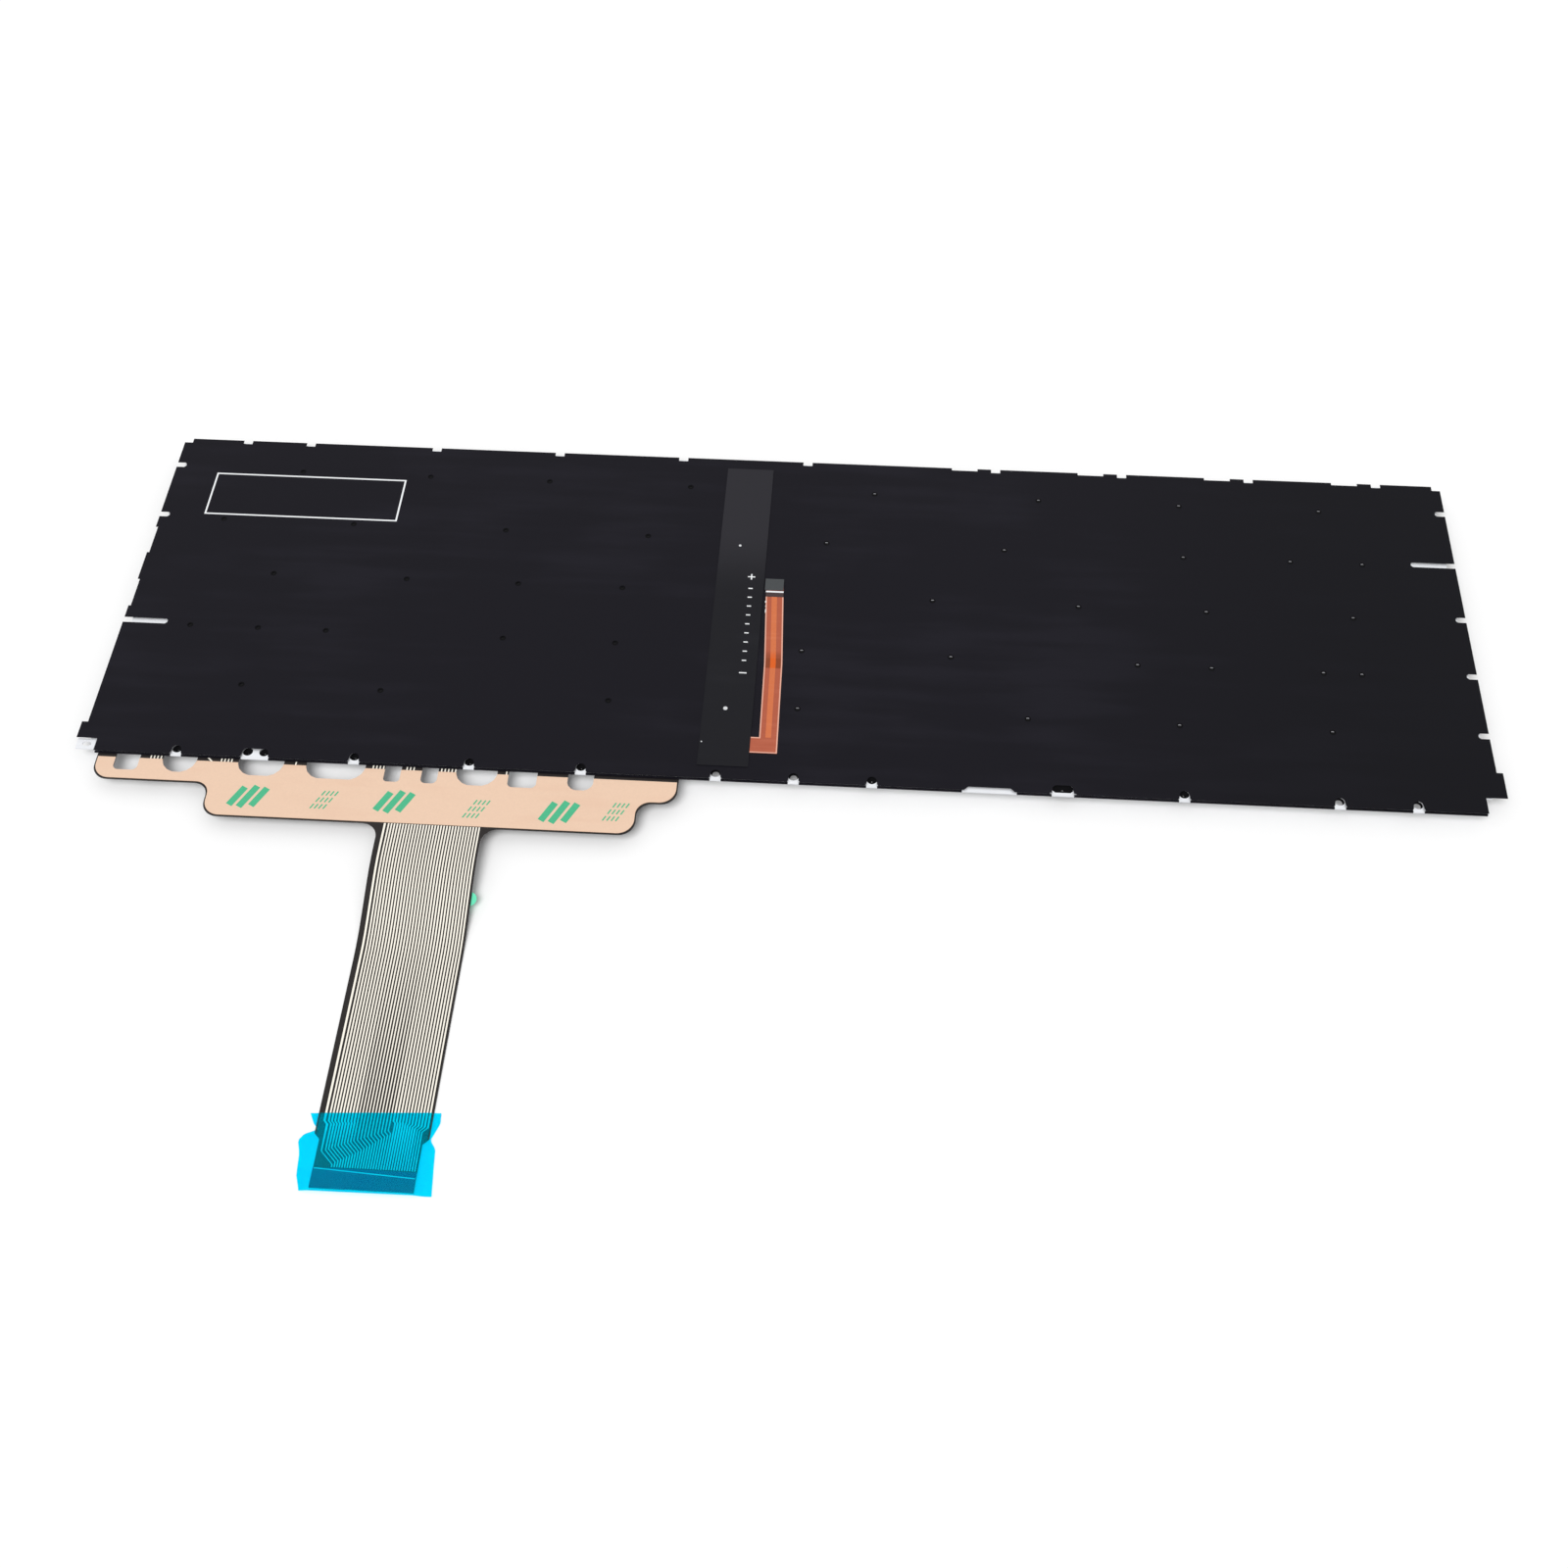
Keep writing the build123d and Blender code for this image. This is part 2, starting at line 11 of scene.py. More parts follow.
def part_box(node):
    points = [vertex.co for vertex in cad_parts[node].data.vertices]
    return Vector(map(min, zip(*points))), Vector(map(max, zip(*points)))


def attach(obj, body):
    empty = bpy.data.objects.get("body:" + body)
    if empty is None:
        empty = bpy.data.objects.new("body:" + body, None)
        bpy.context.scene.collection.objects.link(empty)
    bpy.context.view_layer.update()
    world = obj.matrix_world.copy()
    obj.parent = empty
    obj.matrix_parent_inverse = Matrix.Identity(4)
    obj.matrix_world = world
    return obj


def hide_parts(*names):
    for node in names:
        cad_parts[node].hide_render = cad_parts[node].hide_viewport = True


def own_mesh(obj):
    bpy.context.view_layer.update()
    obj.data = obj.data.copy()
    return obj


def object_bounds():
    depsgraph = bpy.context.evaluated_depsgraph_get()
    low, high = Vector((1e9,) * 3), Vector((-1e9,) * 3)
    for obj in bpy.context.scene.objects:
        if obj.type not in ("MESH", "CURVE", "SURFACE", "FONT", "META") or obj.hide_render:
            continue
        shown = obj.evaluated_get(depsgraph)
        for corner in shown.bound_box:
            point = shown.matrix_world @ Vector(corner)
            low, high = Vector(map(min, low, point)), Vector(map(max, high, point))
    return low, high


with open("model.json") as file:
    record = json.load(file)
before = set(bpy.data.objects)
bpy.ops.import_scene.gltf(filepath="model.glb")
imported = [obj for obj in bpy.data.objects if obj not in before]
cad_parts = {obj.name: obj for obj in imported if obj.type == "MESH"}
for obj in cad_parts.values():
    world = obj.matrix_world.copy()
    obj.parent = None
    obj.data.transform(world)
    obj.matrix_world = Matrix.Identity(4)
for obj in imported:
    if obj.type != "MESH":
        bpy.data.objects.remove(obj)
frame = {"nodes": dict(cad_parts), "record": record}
cad_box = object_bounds()
nodes = frame["nodes"]
MM = 0.001
BOARD = "board"

# Heights of the faces that carry the prints
FILM_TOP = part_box("shade_film")[1].z
COVER_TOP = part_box("led_cover")[1].z
FLEX_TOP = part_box("led_flex")[1].z
TAPE_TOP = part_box("adhesive_tape")[1].z
GUIDE_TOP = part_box("light_guide")[1].z
MEMBRANE_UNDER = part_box("rubber_domes")[1].z

# Small lengths that the pieces share
PRINT = 0.012 * MM
PRINT_GAP = 0.004 * MM
RELIEF_DEPTH = 0.2 * MM
SEAM = 0.002 * MM
DROP_HEIGHT = 10 * MM


def tint(red, green, blue):
    """A display colour, 0 to 255, as the linear colour that a shader takes."""
    linear = []
    for part in (red, green, blue):
        share = part / 255
        linear.append(share / 12.92 if share <= 0.04045 else ((share + 0.055) / 1.055) ** 2.4)
    return *linear, 1.0


# Shared surface effects

def start_group(name, inputs, outputs):
    """An empty shader group with its named sockets, its input node and its output node."""
    group = bpy.data.node_groups.new(name, "ShaderNodeTree")
    for socket, kind, value in inputs:
        made = group.interface.new_socket(socket, in_out="INPUT", socket_type=kind)
        if value is not None:
            made.default_value = value
    for socket, kind in outputs:
        group.interface.new_socket(socket, in_out="OUTPUT", socket_type=kind)
    return group, group.nodes.new("NodeGroupInput"), group.nodes.new("NodeGroupOutput")


def math_node(tree, operation, first, second=None, third=None):
    """A Math node; each operand is a number or a socket."""
    node = tree.nodes.new("ShaderNodeMath")
    node.operation = operation
    for socket, operand in zip(node.inputs, (first, second, third)):
        if operand is None:
            continue
        if isinstance(operand, (int, float)):
            socket.default_value = operand
        else:
            tree.links.new(operand, socket)
    return node.outputs["Value"]


def make_grain_group():
    """Fine moulded, printed or paper grain: a tone about 1 and a height."""
    group, start, end = start_group(
        "fine_grain",
        [("Vector", "NodeSocketVector", None), ("Size", "NodeSocketFloat", 0.0005),
         ("Contrast", "NodeSocketFloat", 0.2)],
        [("Tone", "NodeSocketFloat"), ("Height", "NodeSocketFloat")],
    )
    grain = group.nodes.new("ShaderNodeTexNoise")
    grain.inputs["Detail"].default_value = 3
    group.links.new(start.outputs["Vector"], grain.inputs["Vector"])
    group.links.new(math_node(group, "DIVIDE", 1.0, start.outputs["Size"]), grain.inputs["Scale"])
    centred = math_node(group, "SUBTRACT", grain.outputs["Fac"], 0.5)
    tone = math_node(group, "MULTIPLY_ADD", centred, start.outputs["Contrast"], 1.0)
    group.links.new(tone, end.inputs["Tone"])
    group.links.new(grain.outputs["Fac"], end.inputs["Height"])
    return group


def make_marks_group():
    """Handling marks: soft clouds broken up by long thin wipes, as a mask."""
    group, start, end = start_group(
        "handling_marks",
        [("Vector", "NodeSocketVector", None), ("Size", "NodeSocketFloat", 0.03),
         ("Amount", "NodeSocketFloat", 0.5)],
        [("Mask", "NodeSocketFloat")],
    )
    scale = math_node(group, "DIVIDE", 1.0, start.outputs["Size"])
    cloud = group.nodes.new("ShaderNodeTexNoise")
    cloud.inputs["Detail"].default_value = 4
    group.links.new(start.outputs["Vector"], cloud.inputs["Vector"])
    group.links.new(scale, cloud.inputs["Scale"])
    stretch = group.nodes.new("ShaderNodeMapping")
    stretch.inputs["Rotation"].default_value = (0, 0, 0.5)
    stretch.inputs["Scale"].default_value = (1.0, 9.0, 1.0)
    group.links.new(start.outputs["Vector"], stretch.inputs["Vector"])
    wipe = group.nodes.new("ShaderNodeTexNoise")
    wipe.inputs["Detail"].default_value = 5
    group.links.new(stretch.outputs["Vector"], wipe.inputs["Vector"])
    group.links.new(scale, wipe.inputs["Scale"])
    product = math_node(group, "MULTIPLY", cloud.outputs["Fac"], wipe.outputs["Fac"])
    ramp = group.nodes.new("ShaderNodeMapRange")
    ramp.interpolation_type = "SMOOTHSTEP"
    ramp.inputs["From Min"].default_value = 0.22
    ramp.inputs["From Max"].default_value = 0.42
    group.links.new(product, ramp.inputs["Value"])
    mask = math_node(group, "MULTIPLY", ramp.outputs["Result"], start.outputs["Amount"])
    group.links.new(mask, end.inputs["Mask"])
    return group


def make_span_group():
    """A mask that is 1 between two values and fades out over the blur."""
    group, start, end = start_group(
        "printed_span",
        [("Value", "NodeSocketFloat", 0.0), ("From", "NodeSocketFloat", 0.0),
         ("To", "NodeSocketFloat", 1.0), ("Blur", "NodeSocketFloat", 0.0005)],
        [("Mask", "NodeSocketFloat")],
    )
    rise = group.nodes.new("ShaderNodeMapRange")
    rise.interpolation_type = "SMOOTHSTEP"
    fall = group.nodes.new("ShaderNodeMapRange")
    fall.interpolation_type = "SMOOTHSTEP"
    for ramp in (rise, fall):
        group.links.new(start.outputs["Value"], ramp.inputs["Value"])
    group.links.new(math_node(group, "SUBTRACT", start.outputs["From"], start.outputs["Blur"]),
                    rise.inputs["From Min"])
    group.links.new(start.outputs["From"], rise.inputs["From Max"])
    group.links.new(start.outputs["To"], fall.inputs["From Min"])
    group.links.new(math_node(group, "ADD", start.outputs["To"], start.outputs["Blur"]),
                    fall.inputs["From Max"])
    past = math_node(group, "SUBTRACT", 1.0, fall.outputs["Result"])
    group.links.new(math_node(group, "MULTIPLY", rise.outputs["Result"], past), end.inputs["Mask"])
    return group


GRAIN = make_grain_group()
MARKS = make_marks_group()
SPAN = make_span_group()


def place_group(tree, group, vector=None, **values):
    """A group in a material's tree, with its own values."""
    node = tree.nodes.new("ShaderNodeGroup")
    node.node_tree = group
    if vector is not None:
        tree.links.new(vector, node.inputs["Vector"])
    for socket, value in values.items():
        node.inputs[socket].default_value = value
    return node


def mix_colour(tree, mask, first, second):
    """A colour that goes from the first to the second with the mask."""
    node = tree.nodes.new("ShaderNodeMix")
    node.data_type = "RGBA"
    for socket, colour in ((node.inputs[6], first), (node.inputs[7], second)):
        if isinstance(colour, tuple):
            socket.default_value = colour
        else:
            tree.links.new(colour, socket)
    tree.links.new(mask, node.inputs[0])
    return node.outputs[2]


class Finish:
    """A procedural material: a grained colour with handling marks, roughness and bump."""

    def __init__(self, name, colour, roughness, grain=0.0004, contrast=0.15, bump=0.05,
                 marks=0.0, marks_size=0.03, marks_colour=None, marks_roughness=0.12,
                 specular=0.5, metallic=0.0, stretch=(1, 1, 1)):
        self.material = bpy.data.materials.new(name)
        self.material.use_nodes = True
        self.tree = self.material.node_tree
        self.shader = self.tree.nodes["Principled BSDF"]
        self.shader.inputs["Metallic"].default_value = metallic
        self.shader.inputs["Specular IOR Level"].default_value = specular
        self.place = self.tree.nodes.new("ShaderNodeTexCoord").outputs["Object"]
        mapping = self.tree.nodes.new("ShaderNodeMapping")
        mapping.inputs["Scale"].default_value = stretch
        self.tree.links.new(self.place, mapping.inputs["Vector"])
        self.grain = place_group(self.tree, GRAIN, mapping.outputs["Vector"], Size=grain,
                                 Contrast=contrast)
        self.marks = place_group(self.tree, MARKS, self.place, Size=marks_size, Amount=marks)
        toned = self.tree.nodes.new("ShaderNodeVectorMath")
        toned.operation = "SCALE"
        toned.inputs[0].default_value = colour[:3]
        self.tree.links.new(self.grain.outputs["Tone"], toned.inputs["Scale"])
        self.colour = mix_colour(self.tree, self.marks.outputs["Mask"], toned.outputs["Vector"],
                                 marks_colour or colour)
        rough = math_node(self.tree, "MULTIPLY_ADD", self.marks.outputs["Mask"], marks_roughness,
                          roughness)
        rough = math_node(self.tree, "MULTIPLY", rough, self.grain.outputs["Tone"])
        self.tree.links.new(rough, self.shader.inputs["Roughness"])
        relief = self.tree.nodes.new("ShaderNodeBump")
        relief.inputs["Strength"].default_value = bump
        relief.inputs["Distance"].default_value = RELIEF_DEPTH
        self.tree.links.new(self.grain.outputs["Height"], relief.inputs["Height"])
        self.tree.links.new(relief.outputs["Normal"], self.shader.inputs["Normal"])
        self.paint(self.colour)

    def paint(self, colour):
        """Puts a colour on the shader."""
        self.colour = colour
        self.tree.links.new(colour, self.shader.inputs["Base Color"])

    def along(self, axis):
        """One of the object coordinates as a value."""
        split = self.tree.nodes.new("ShaderNodeSeparateXYZ")
        self.tree.links.new(self.place, split.inputs["Vector"])
        return split.outputs[axis]

    def stripe(self, axis, start, end, blur, colour, share=1.0):
        """Colours the span between two places along an axis."""
        span = place_group(self.tree, SPAN, From=start, To=end, Blur=blur)
        self.tree.links.new(self.along(axis), span.inputs["Value"])
        mask = math_node(self.tree, "MULTIPLY", span.outputs["Mask"], share)
        self.paint(mix_colour(self.tree, mask, self.colour, colour))


# Finishes

film_black = Finish("black_film", tint(23, 22, 28), 0.5, grain=0.0003, contrast=0.25, bump=0.03,
                    marks=0.6, marks_size=0.05, marks_colour=tint(32, 31, 38), specular=0.06)
# Painted shade: the film darkens towards its right end, where less of the light's sheen falls on it
film_black.stripe("X", 165 * MM, 400 * MM, 120 * MM, tint(17, 17, 21), 0.8)
cover_black = Finish("cover_film", tint(27, 27, 31), 0.52, grain=0.0005, contrast=0.2, bump=0.05,
                     marks=0.4, marks_size=0.03, marks_colour=tint(36, 36, 40), specular=0.08)
cover_black.stripe("Y", 28 * MM, 60 * MM, 25 * MM, tint(46, 45, 50), 0.8)
sheet_metal = Finish("rolled_sheet", tint(232, 234, 238), 0.42, grain=0.0007, contrast=0.2,
                     bump=0.04, marks=0.3, marks_colour=tint(206, 209, 214), metallic=0.45,
                     stretch=(0.06, 1, 1))
key_plastic = Finish("key_plastic", tint(36, 36, 38), 0.5, grain=0.00016, contrast=0.3, bump=0.16,
                     marks=0.25, marks_size=0.012, marks_colour=tint(46, 46, 48),
                     marks_roughness=-0.12, specular=0.35)
legend_white = Finish("legend_print", tint(226, 230, 232), 0.5, contrast=0.06, bump=0.02)
print_white = Finish("white_print", tint(236, 238, 240), 0.55, grain=0.0002, contrast=0.1,
                     bump=0.03)
silicone = Finish("dome_silicone", tint(206, 206, 200), 0.4, grain=0.0006, contrast=0.08, bump=0.02)
link_plastic = Finish("link_plastic", tint(225, 226, 224), 0.38, grain=0.0004, contrast=0.06,
                      bump=0.03)
# Painted shade: the clear light guide is coloured near black, so that the film's pinholes, which
# show it, read as dark
guide_painted_dark = Finish("light_guide_painted_dark", tint(8, 8, 10), 0.3, grain=0.0012, contrast=0.1,
                     bump=0.02, specular=0.1)
led_package = Finish("led_package", tint(240, 226, 160), 0.35, grain=0.0002, contrast=0.1,
                     bump=0.03)
polyimide = Finish("orange_polyimide", tint(169, 84, 58), 0.36, grain=0.0005, contrast=0.14,
                   bump=0.03, marks=0.4, marks_size=0.012, marks_colour=tint(187, 105, 79),
                   specular=0.3)
tail_copper = Finish("covered_copper", tint(202, 108, 64), 0.32, grain=0.0006, contrast=0.12,
                     bump=0.03, marks=0.4, marks_size=0.012, marks_colour=tint(212, 128, 90),
                     specular=0.3)
tail_rim = Finish("flex_rim", tint(222, 166, 146), 0.4, grain=0.0005, contrast=0.12, bump=0.03,
                  specular=0.3)
tail_grey = Finish("grey_stiffener", tint(66, 69, 71), 0.45, grain=0.0004, contrast=0.16, bump=0.06,
                   specular=0.2)
tail_dark = Finish("dark_coverlay", tint(66, 52, 52), 0.45, grain=0.0004, contrast=0.16, bump=0.04,
                   specular=0.2)
membrane_black = Finish("printed_membrane", tint(32, 28, 27), 0.33, grain=0.0005, contrast=0.2,
                        bump=0.03, marks=0.3, marks_colour=tint(44, 40, 38), specular=0.25)
# Cream of the membrane's bare gaps, also used for the painted highlight along the stiffener's rear
# edge
cream_gaps_and_highlight = Finish("bare_film_gap_and_edge_highlight", tint(246, 241, 228), 0.36, grain=0.0006, contrast=0.1,
                     bump=0.02)
liner_peach = Finish("release_paper", tint(228, 196, 171), 0.52, grain=0.0005, contrast=0.1,
                     bump=0.06, marks=0.5, marks_size=0.02, marks_colour=tint(223, 187, 162),
                     specular=0.3)
print_green = Finish("green_print", tint(66, 176, 130), 0.5, grain=0.0003, contrast=0.35, bump=0.04)
end_blue = Finish("contact_stiffener", tint(10, 44, 100), 0.4, grain=0.0004, contrast=0.12,
                  bump=0.03, marks=0.4, marks_size=0.008, marks_colour=tint(8, 36, 84))
dot_green = Finish("mint_sticker", tint(96, 222, 178), 0.5, grain=0.0004, contrast=0.12, bump=0.03)
glue_white = Finish("glue_bead", tint(235, 230, 226), 0.4, grain=0.0004, contrast=0.15, bump=0.2)
solder = Finish("bright_solder", tint(212, 214, 216), 0.3, grain=0.0003, contrast=0.3, bump=0.2,
                metallic=0.5)
# Painted highlight: the grey glint at the rear of the pinholes on the right
glint_grey = Finish("pinhole_glint", tint(150, 150, 154), 0.5, grain=0.0003, contrast=0.2,
                    bump=0.03, specular=0.2)
# Painted shade: a near-black ring round each pinhole that widens its dark spot
painted_rim_shade = Finish("painted_pinhole_shade", tint(5, 5, 7), 0.5, grain=0.0003, contrast=0.25, bump=0.03,
                   specular=0.06)
contact_carbon = Finish("carbon_contact", tint(112, 112, 114), 0.4, grain=0.0002, contrast=0.2,
                        bump=0.05, metallic=0.3)
# Painted shade: near-black cones that stand in for the shade inside the screw holes
hole_shade_black = Finish("hole_shade_black", tint(18, 18, 20), 0.9, grain=0.0002, contrast=0.4, bump=0.3,
                     specular=0.05)
wrap_blue = Finish("blue_wrap", (0.0, 0.8, 1.0, 1.0), 0.06, grain=0.0012, contrast=0.1, bump=0.02,
                   marks=0.4, marks_size=0.006, marks_colour=(0.0, 0.7, 0.98, 1.0),
                   marks_roughness=0.04)
wrap_blue.shader.inputs["Transmission Weight"].default_value = 0.9
wrap_blue.shader.inputs["IOR"].default_value = 1.12

# Painted shade: a darker band across the orange tail at its crease, and a softer halo of that shade
# beside it
CREASE_SHADE_FRONT, CREASE_SHADE_REAR, CREASE_SHADE_BLUR = -18.9 * MM, -16.0 * MM, 0.25 * MM
SHADE_HALO_FRONT, SHADE_HALO_REAR, SHADE_HALO_BLUR, SHADE_HALO_SHARE = -16.1 * MM, -15.4 * MM, 2.4 * MM, 0.7
for tail_finish, crease_shade in ((polyimide, tint(132, 58, 22)), (tail_copper, tint(212, 90, 16))):
    tail_finish.stripe("Y", CREASE_SHADE_FRONT, CREASE_SHADE_REAR, CREASE_SHADE_BLUR, crease_shade)
    tail_finish.stripe("Y", SHADE_HALO_FRONT, SHADE_HALO_REAR, SHADE_HALO_BLUR, crease_shade, SHADE_HALO_SHARE)

node_finishes = {
    "shade_film": film_black,
    "led_cover": cover_black,
    "base_plate": sheet_metal,
    "light_guide": guide_painted_dark,
    "leds": led_package,
    "led_flex": polyimide,
    "flex_stiffener": tail_grey,
    "membrane": membrane_black,
    "adhesive_tape": liner_peach,
    "ribbon_stiffener": end_blue,
    "rubber_domes": silicone,
    "protective_film": wrap_blue,
}
for node_name, node in nodes.items():
    node.data.materials.clear()
    node.data.materials.append(node_finishes.get(node_name, key_plastic).material)


# Building pieces

def finish_piece(name, bm, finishes, body=BOARD, thickness=0.0):
    """Turns a bmesh into a piece that rides on a body; a thickness grows outwards."""
    mesh = bpy.data.meshes.new(name)
    bm.normal_update()
    bm.to_mesh(mesh)
    bm.free()
    piece = bpy.data.objects.new(name, mesh)
    bpy.context.scene.collection.objects.link(piece)
    for surface in finishes if isinstance(finishes, (list, tuple)) else [finishes]:
        mesh.materials.append(surface.material)
    if thickness:
        wall = piece.modifiers.new("thickness", "SOLIDIFY")
        wall.thickness = thickness
        wall.offset = 1.0
    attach(piece, body)
    return piece


def add_strip(bm, rows, height):
    """A level strip through rows of (y, lowest x, highest x), in millimetres, facing up."""
    y, low, high = rows[0]
    ends = [bm.verts.new((low * MM, y * MM, height)), bm.verts.new((high * MM, y * MM, height))]
    edge = bm.edges.new(ends)
    faces = []
    for y, low, high in rows[1:]:
        made = bmesh.ops.extrude_edge_only(bm, edges=[edge])["geom"]
        ends = sorted((v for v in made if isinstance(v, bmesh.types.BMVert)), key=lambda v: v.co.x)
        for vert, x in zip(ends, (low, high)):
            vert.co = (x * MM, y * MM, height)
        edge = next(e for e in made if isinstance(e, bmesh.types.BMEdge))
        faces += [f for f in made if isinstance(f, bmesh.types.BMFace)]
    face_up(bm, faces)


def face_up(bm, faces):
    """Turns level faces to point up."""
    bm.normal_update()
    bmesh.ops.reverse_faces(bm, faces=[face for face in faces if face.normal.z < 0])


def add_bar(bm, centre, size, height, angle=0.0):
    """A level bar, in millimetres, turned by an angle."""
    made = bmesh.ops.create_grid(bm, x_segments=1, y_segments=1, size=0.5 * MM)["verts"]
    bmesh.ops.scale(bm, verts=made, vec=(*size, 1))
    bmesh.ops.rotate(bm, verts=made, matrix=Matrix.Rotation(angle, 3, "Z"))
    bmesh.ops.translate(bm, verts=made, vec=(centre[0] * MM, centre[1] * MM, height))


def open_middle(bm, faces, rim):
    """Leaves only a rim, in millimetres, of level faces."""
    bm.normal_update()
    bmesh.ops.inset_region(bm, faces=faces, thickness=rim * MM, use_boundary=True,
                           use_even_offset=True)
    bmesh.ops.delete(bm, geom=faces, context="FACES")


def add_disc(bm, centre, radius, height, sides=20):
    """A level disc, in millimetres."""
    made = bmesh.ops.create_circle(bm, cap_ends=True, segments=sides, radius=radius * MM)["verts"]
    bmesh.ops.translate(bm, verts=made, vec=(centre[0] * MM, centre[1] * MM, height))
    face_up(bm, {face for vert in made for face in vert.link_faces})


def lay_on(bm, node_name, gap=PRINT_GAP):
    """Drops every vertex onto a CAD node."""
    above = cad_box[1].z + DROP_HEIGHT
    for vert in bm.verts:
        hit, place = nodes[node_name].ray_cast((vert.co.x, vert.co.y, above), (0, 0, -1))[:2]
        if hit:
            vert.co.z = place.z + gap


def islands(node_name, walls_only=False):
    """Boxes of a node's separate solids, or of its upright walls, as (lowest, highest)."""
    bm = bmesh.new()
    bm.from_mesh(nodes[node_name].data)
    bmesh.ops.remove_doubles(bm, verts=bm.verts, dist=SEAM)
    if walls_only:
        bm.normal_update()
        level = [face for face in bm.faces if abs(face.normal.z) > 0.5]
        bmesh.ops.delete(bm, geom=level, context="FACES")
    left = set(bm.verts)
    boxes = []
    while left:
        reached = [left.pop()]
        for vert in reached:
            for edge in vert.link_edges:
                other = edge.other_vert(vert)
                if other in left:
                    left.remove(other)
                    reached.append(other)
        low = Vector(min(vert.co[axis] for vert in reached) for axis in range(3))
        high = Vector(max(vert.co[axis] for vert in reached) for axis in range(3))
        boxes.append((low, high))
    bm.free()
    return sorted(boxes, key=lambda box: tuple(box[0]))


# A print on the back film: an empty outline box

BOX_LEFT, BOX_RIGHT, BOX_FRONT, BOX_REAR = -160.6, -108.2, 25.6, 40.9
BOX_LINE = 0.45

bm = bmesh.new()
add_bar(bm, ((BOX_LEFT + BOX_RIGHT) / 2, (BOX_FRONT + BOX_REAR) / 2),
        (BOX_RIGHT - BOX_LEFT, BOX_REAR - BOX_FRONT), FILM_TOP + PRINT_GAP)
open_middle(bm, bm.faces[:], BOX_LINE)
finish_piece("outline_box", bm, print_white, thickness=PRINT)

# Painted shade: dark rims round the pinholes; painted highlight: a grey glint at the rear of those
# on the right

PINHOLE_WIDTH, HOLE_SIDES = 1.5 * MM, 14
RIM_INSIDE, RIM_OUTSIDE = 0.5, 0.8
GLINT_RADIUS, GLINT_START, GLINT_FROM = 0.52, 0.22, -12.0
pinholes = [(low + high) / 2 / MM for low, high in islands("shade_film", walls_only=True)
            if max(high.x - low.x, high.y - low.y) < PINHOLE_WIDTH]
rims, glints = bmesh.new(), bmesh.new()
for hole in pinholes:
    add_disc(rims, hole, RIM_OUTSIDE, FILM_TOP + PRINT_GAP, sides=HOLE_SIDES)
    if hole.x < GLINT_FROM:
        continue
    add_disc(glints, hole, GLINT_RADIUS, GUIDE_TOP + PRINT_GAP, sides=HOLE_SIDES)
    cut_place = (hole.x * MM, (hole.y + GLINT_START) * MM, GUIDE_TOP)
    near = [vert for vert in glints.verts if (vert.co - Vector(cut_place)).length < PINHOLE_WIDTH]
    around = {part for vert in near for part in (*vert.link_edges, *vert.link_faces)}
    bmesh.ops.bisect_plane(glints, geom=[*near, *around], plane_co=cut_place, plane_no=(0, 1, 0),
                           clear_inner=True)
rims.normal_update()
ring = bmesh.ops.inset_individual(rims, faces=rims.faces[:],
                                  thickness=(RIM_OUTSIDE - RIM_INSIDE) * MM,
                                  use_even_offset=True)["faces"]
bmesh.ops.delete(rims, geom=[face for face in rims.faces if face not in ring], context="FACES")
finish_piece("pinhole_rims", rims, painted_rim_shade, thickness=PRINT)
finish_piece("pinhole_glints", glints, glint_grey, thickness=PRINT)

# Bright eyelets in the cover of the strip

EYELETS = ((-15.4, 21.8, 0.36), (-15.1, -32.4, 0.55), (-20.2, -42.9, 0.2))
bm = bmesh.new()
for x, y, radius in EYELETS:
    add_disc(bm, (x, y), radius, COVER_TOP + PRINT_GAP, sides=HOLE_SIDES)
finish_piece("strip_eyelets", bm, solder, thickness=PRINT)


# Polarity marks and one tick for each pair of lights

MARK_X, MARK_SIZE, MARK_LINE = -11.6, 1.9, 0.34
TICK_COUNT, TICK_FIRST, TICK_PITCH, TICK_LENGTH = 9, 7.0, 3.0, 1.1
PLUS_Y, MINUS_Y = 11.0, -21.0
bm = bmesh.new()
add_bar(bm, (MARK_X, PLUS_Y), (MARK_SIZE, MARK_LINE), COVER_TOP + PRINT_GAP)
add_bar(bm, (MARK_X, PLUS_Y), (MARK_LINE, MARK_SIZE), COVER_TOP + 2 * PRINT_GAP)
for tick in range(TICK_COUNT):
    add_bar(bm, (MARK_X, TICK_FIRST - tick * TICK_PITCH), (TICK_LENGTH, MARK_LINE),
            COVER_TOP + PRINT_GAP)
add_bar(bm, (MARK_X, MINUS_Y), (MARK_SIZE, MARK_LINE), COVER_TOP + PRINT_GAP)
finish_piece("strip_marks", bm, print_white, thickness=PRINT)


# The membrane's bare gaps: short groups at the board's edge, and the lines of the ribbon

GROUP_PITCH = 0.85
GROUP_LINE = 0.32
GROUP_FRONT, GROUP_REAR = -54.85, -53.7
SLANT_REAR, SLANT_FRONT = (-140.6, -140.1), (-139.4, -138.9)
trace_groups = ((-154.6, 4), (-137.1, 4), (-118.7, 1), (-99.6, 4), (-91.3, 3), (-82.8, 5),
                (-66.9, 1))

bm = bmesh.new()
for first, count in trace_groups:
    for line in range(count):
        x = first + line * GROUP_PITCH
        add_strip(bm, [(GROUP_REAR, x, x + GROUP_LINE), (GROUP_FRONT, x, x + GROUP_LINE)], 0)
add_strip(bm, [(GROUP_REAR, *SLANT_REAR), (GROUP_FRONT, *SLANT_FRONT)], 0)
lay_on(bm, "membrane")
finish_piece("flange_traces", bm, cream_gaps_and_highlight, thickness=PRINT)

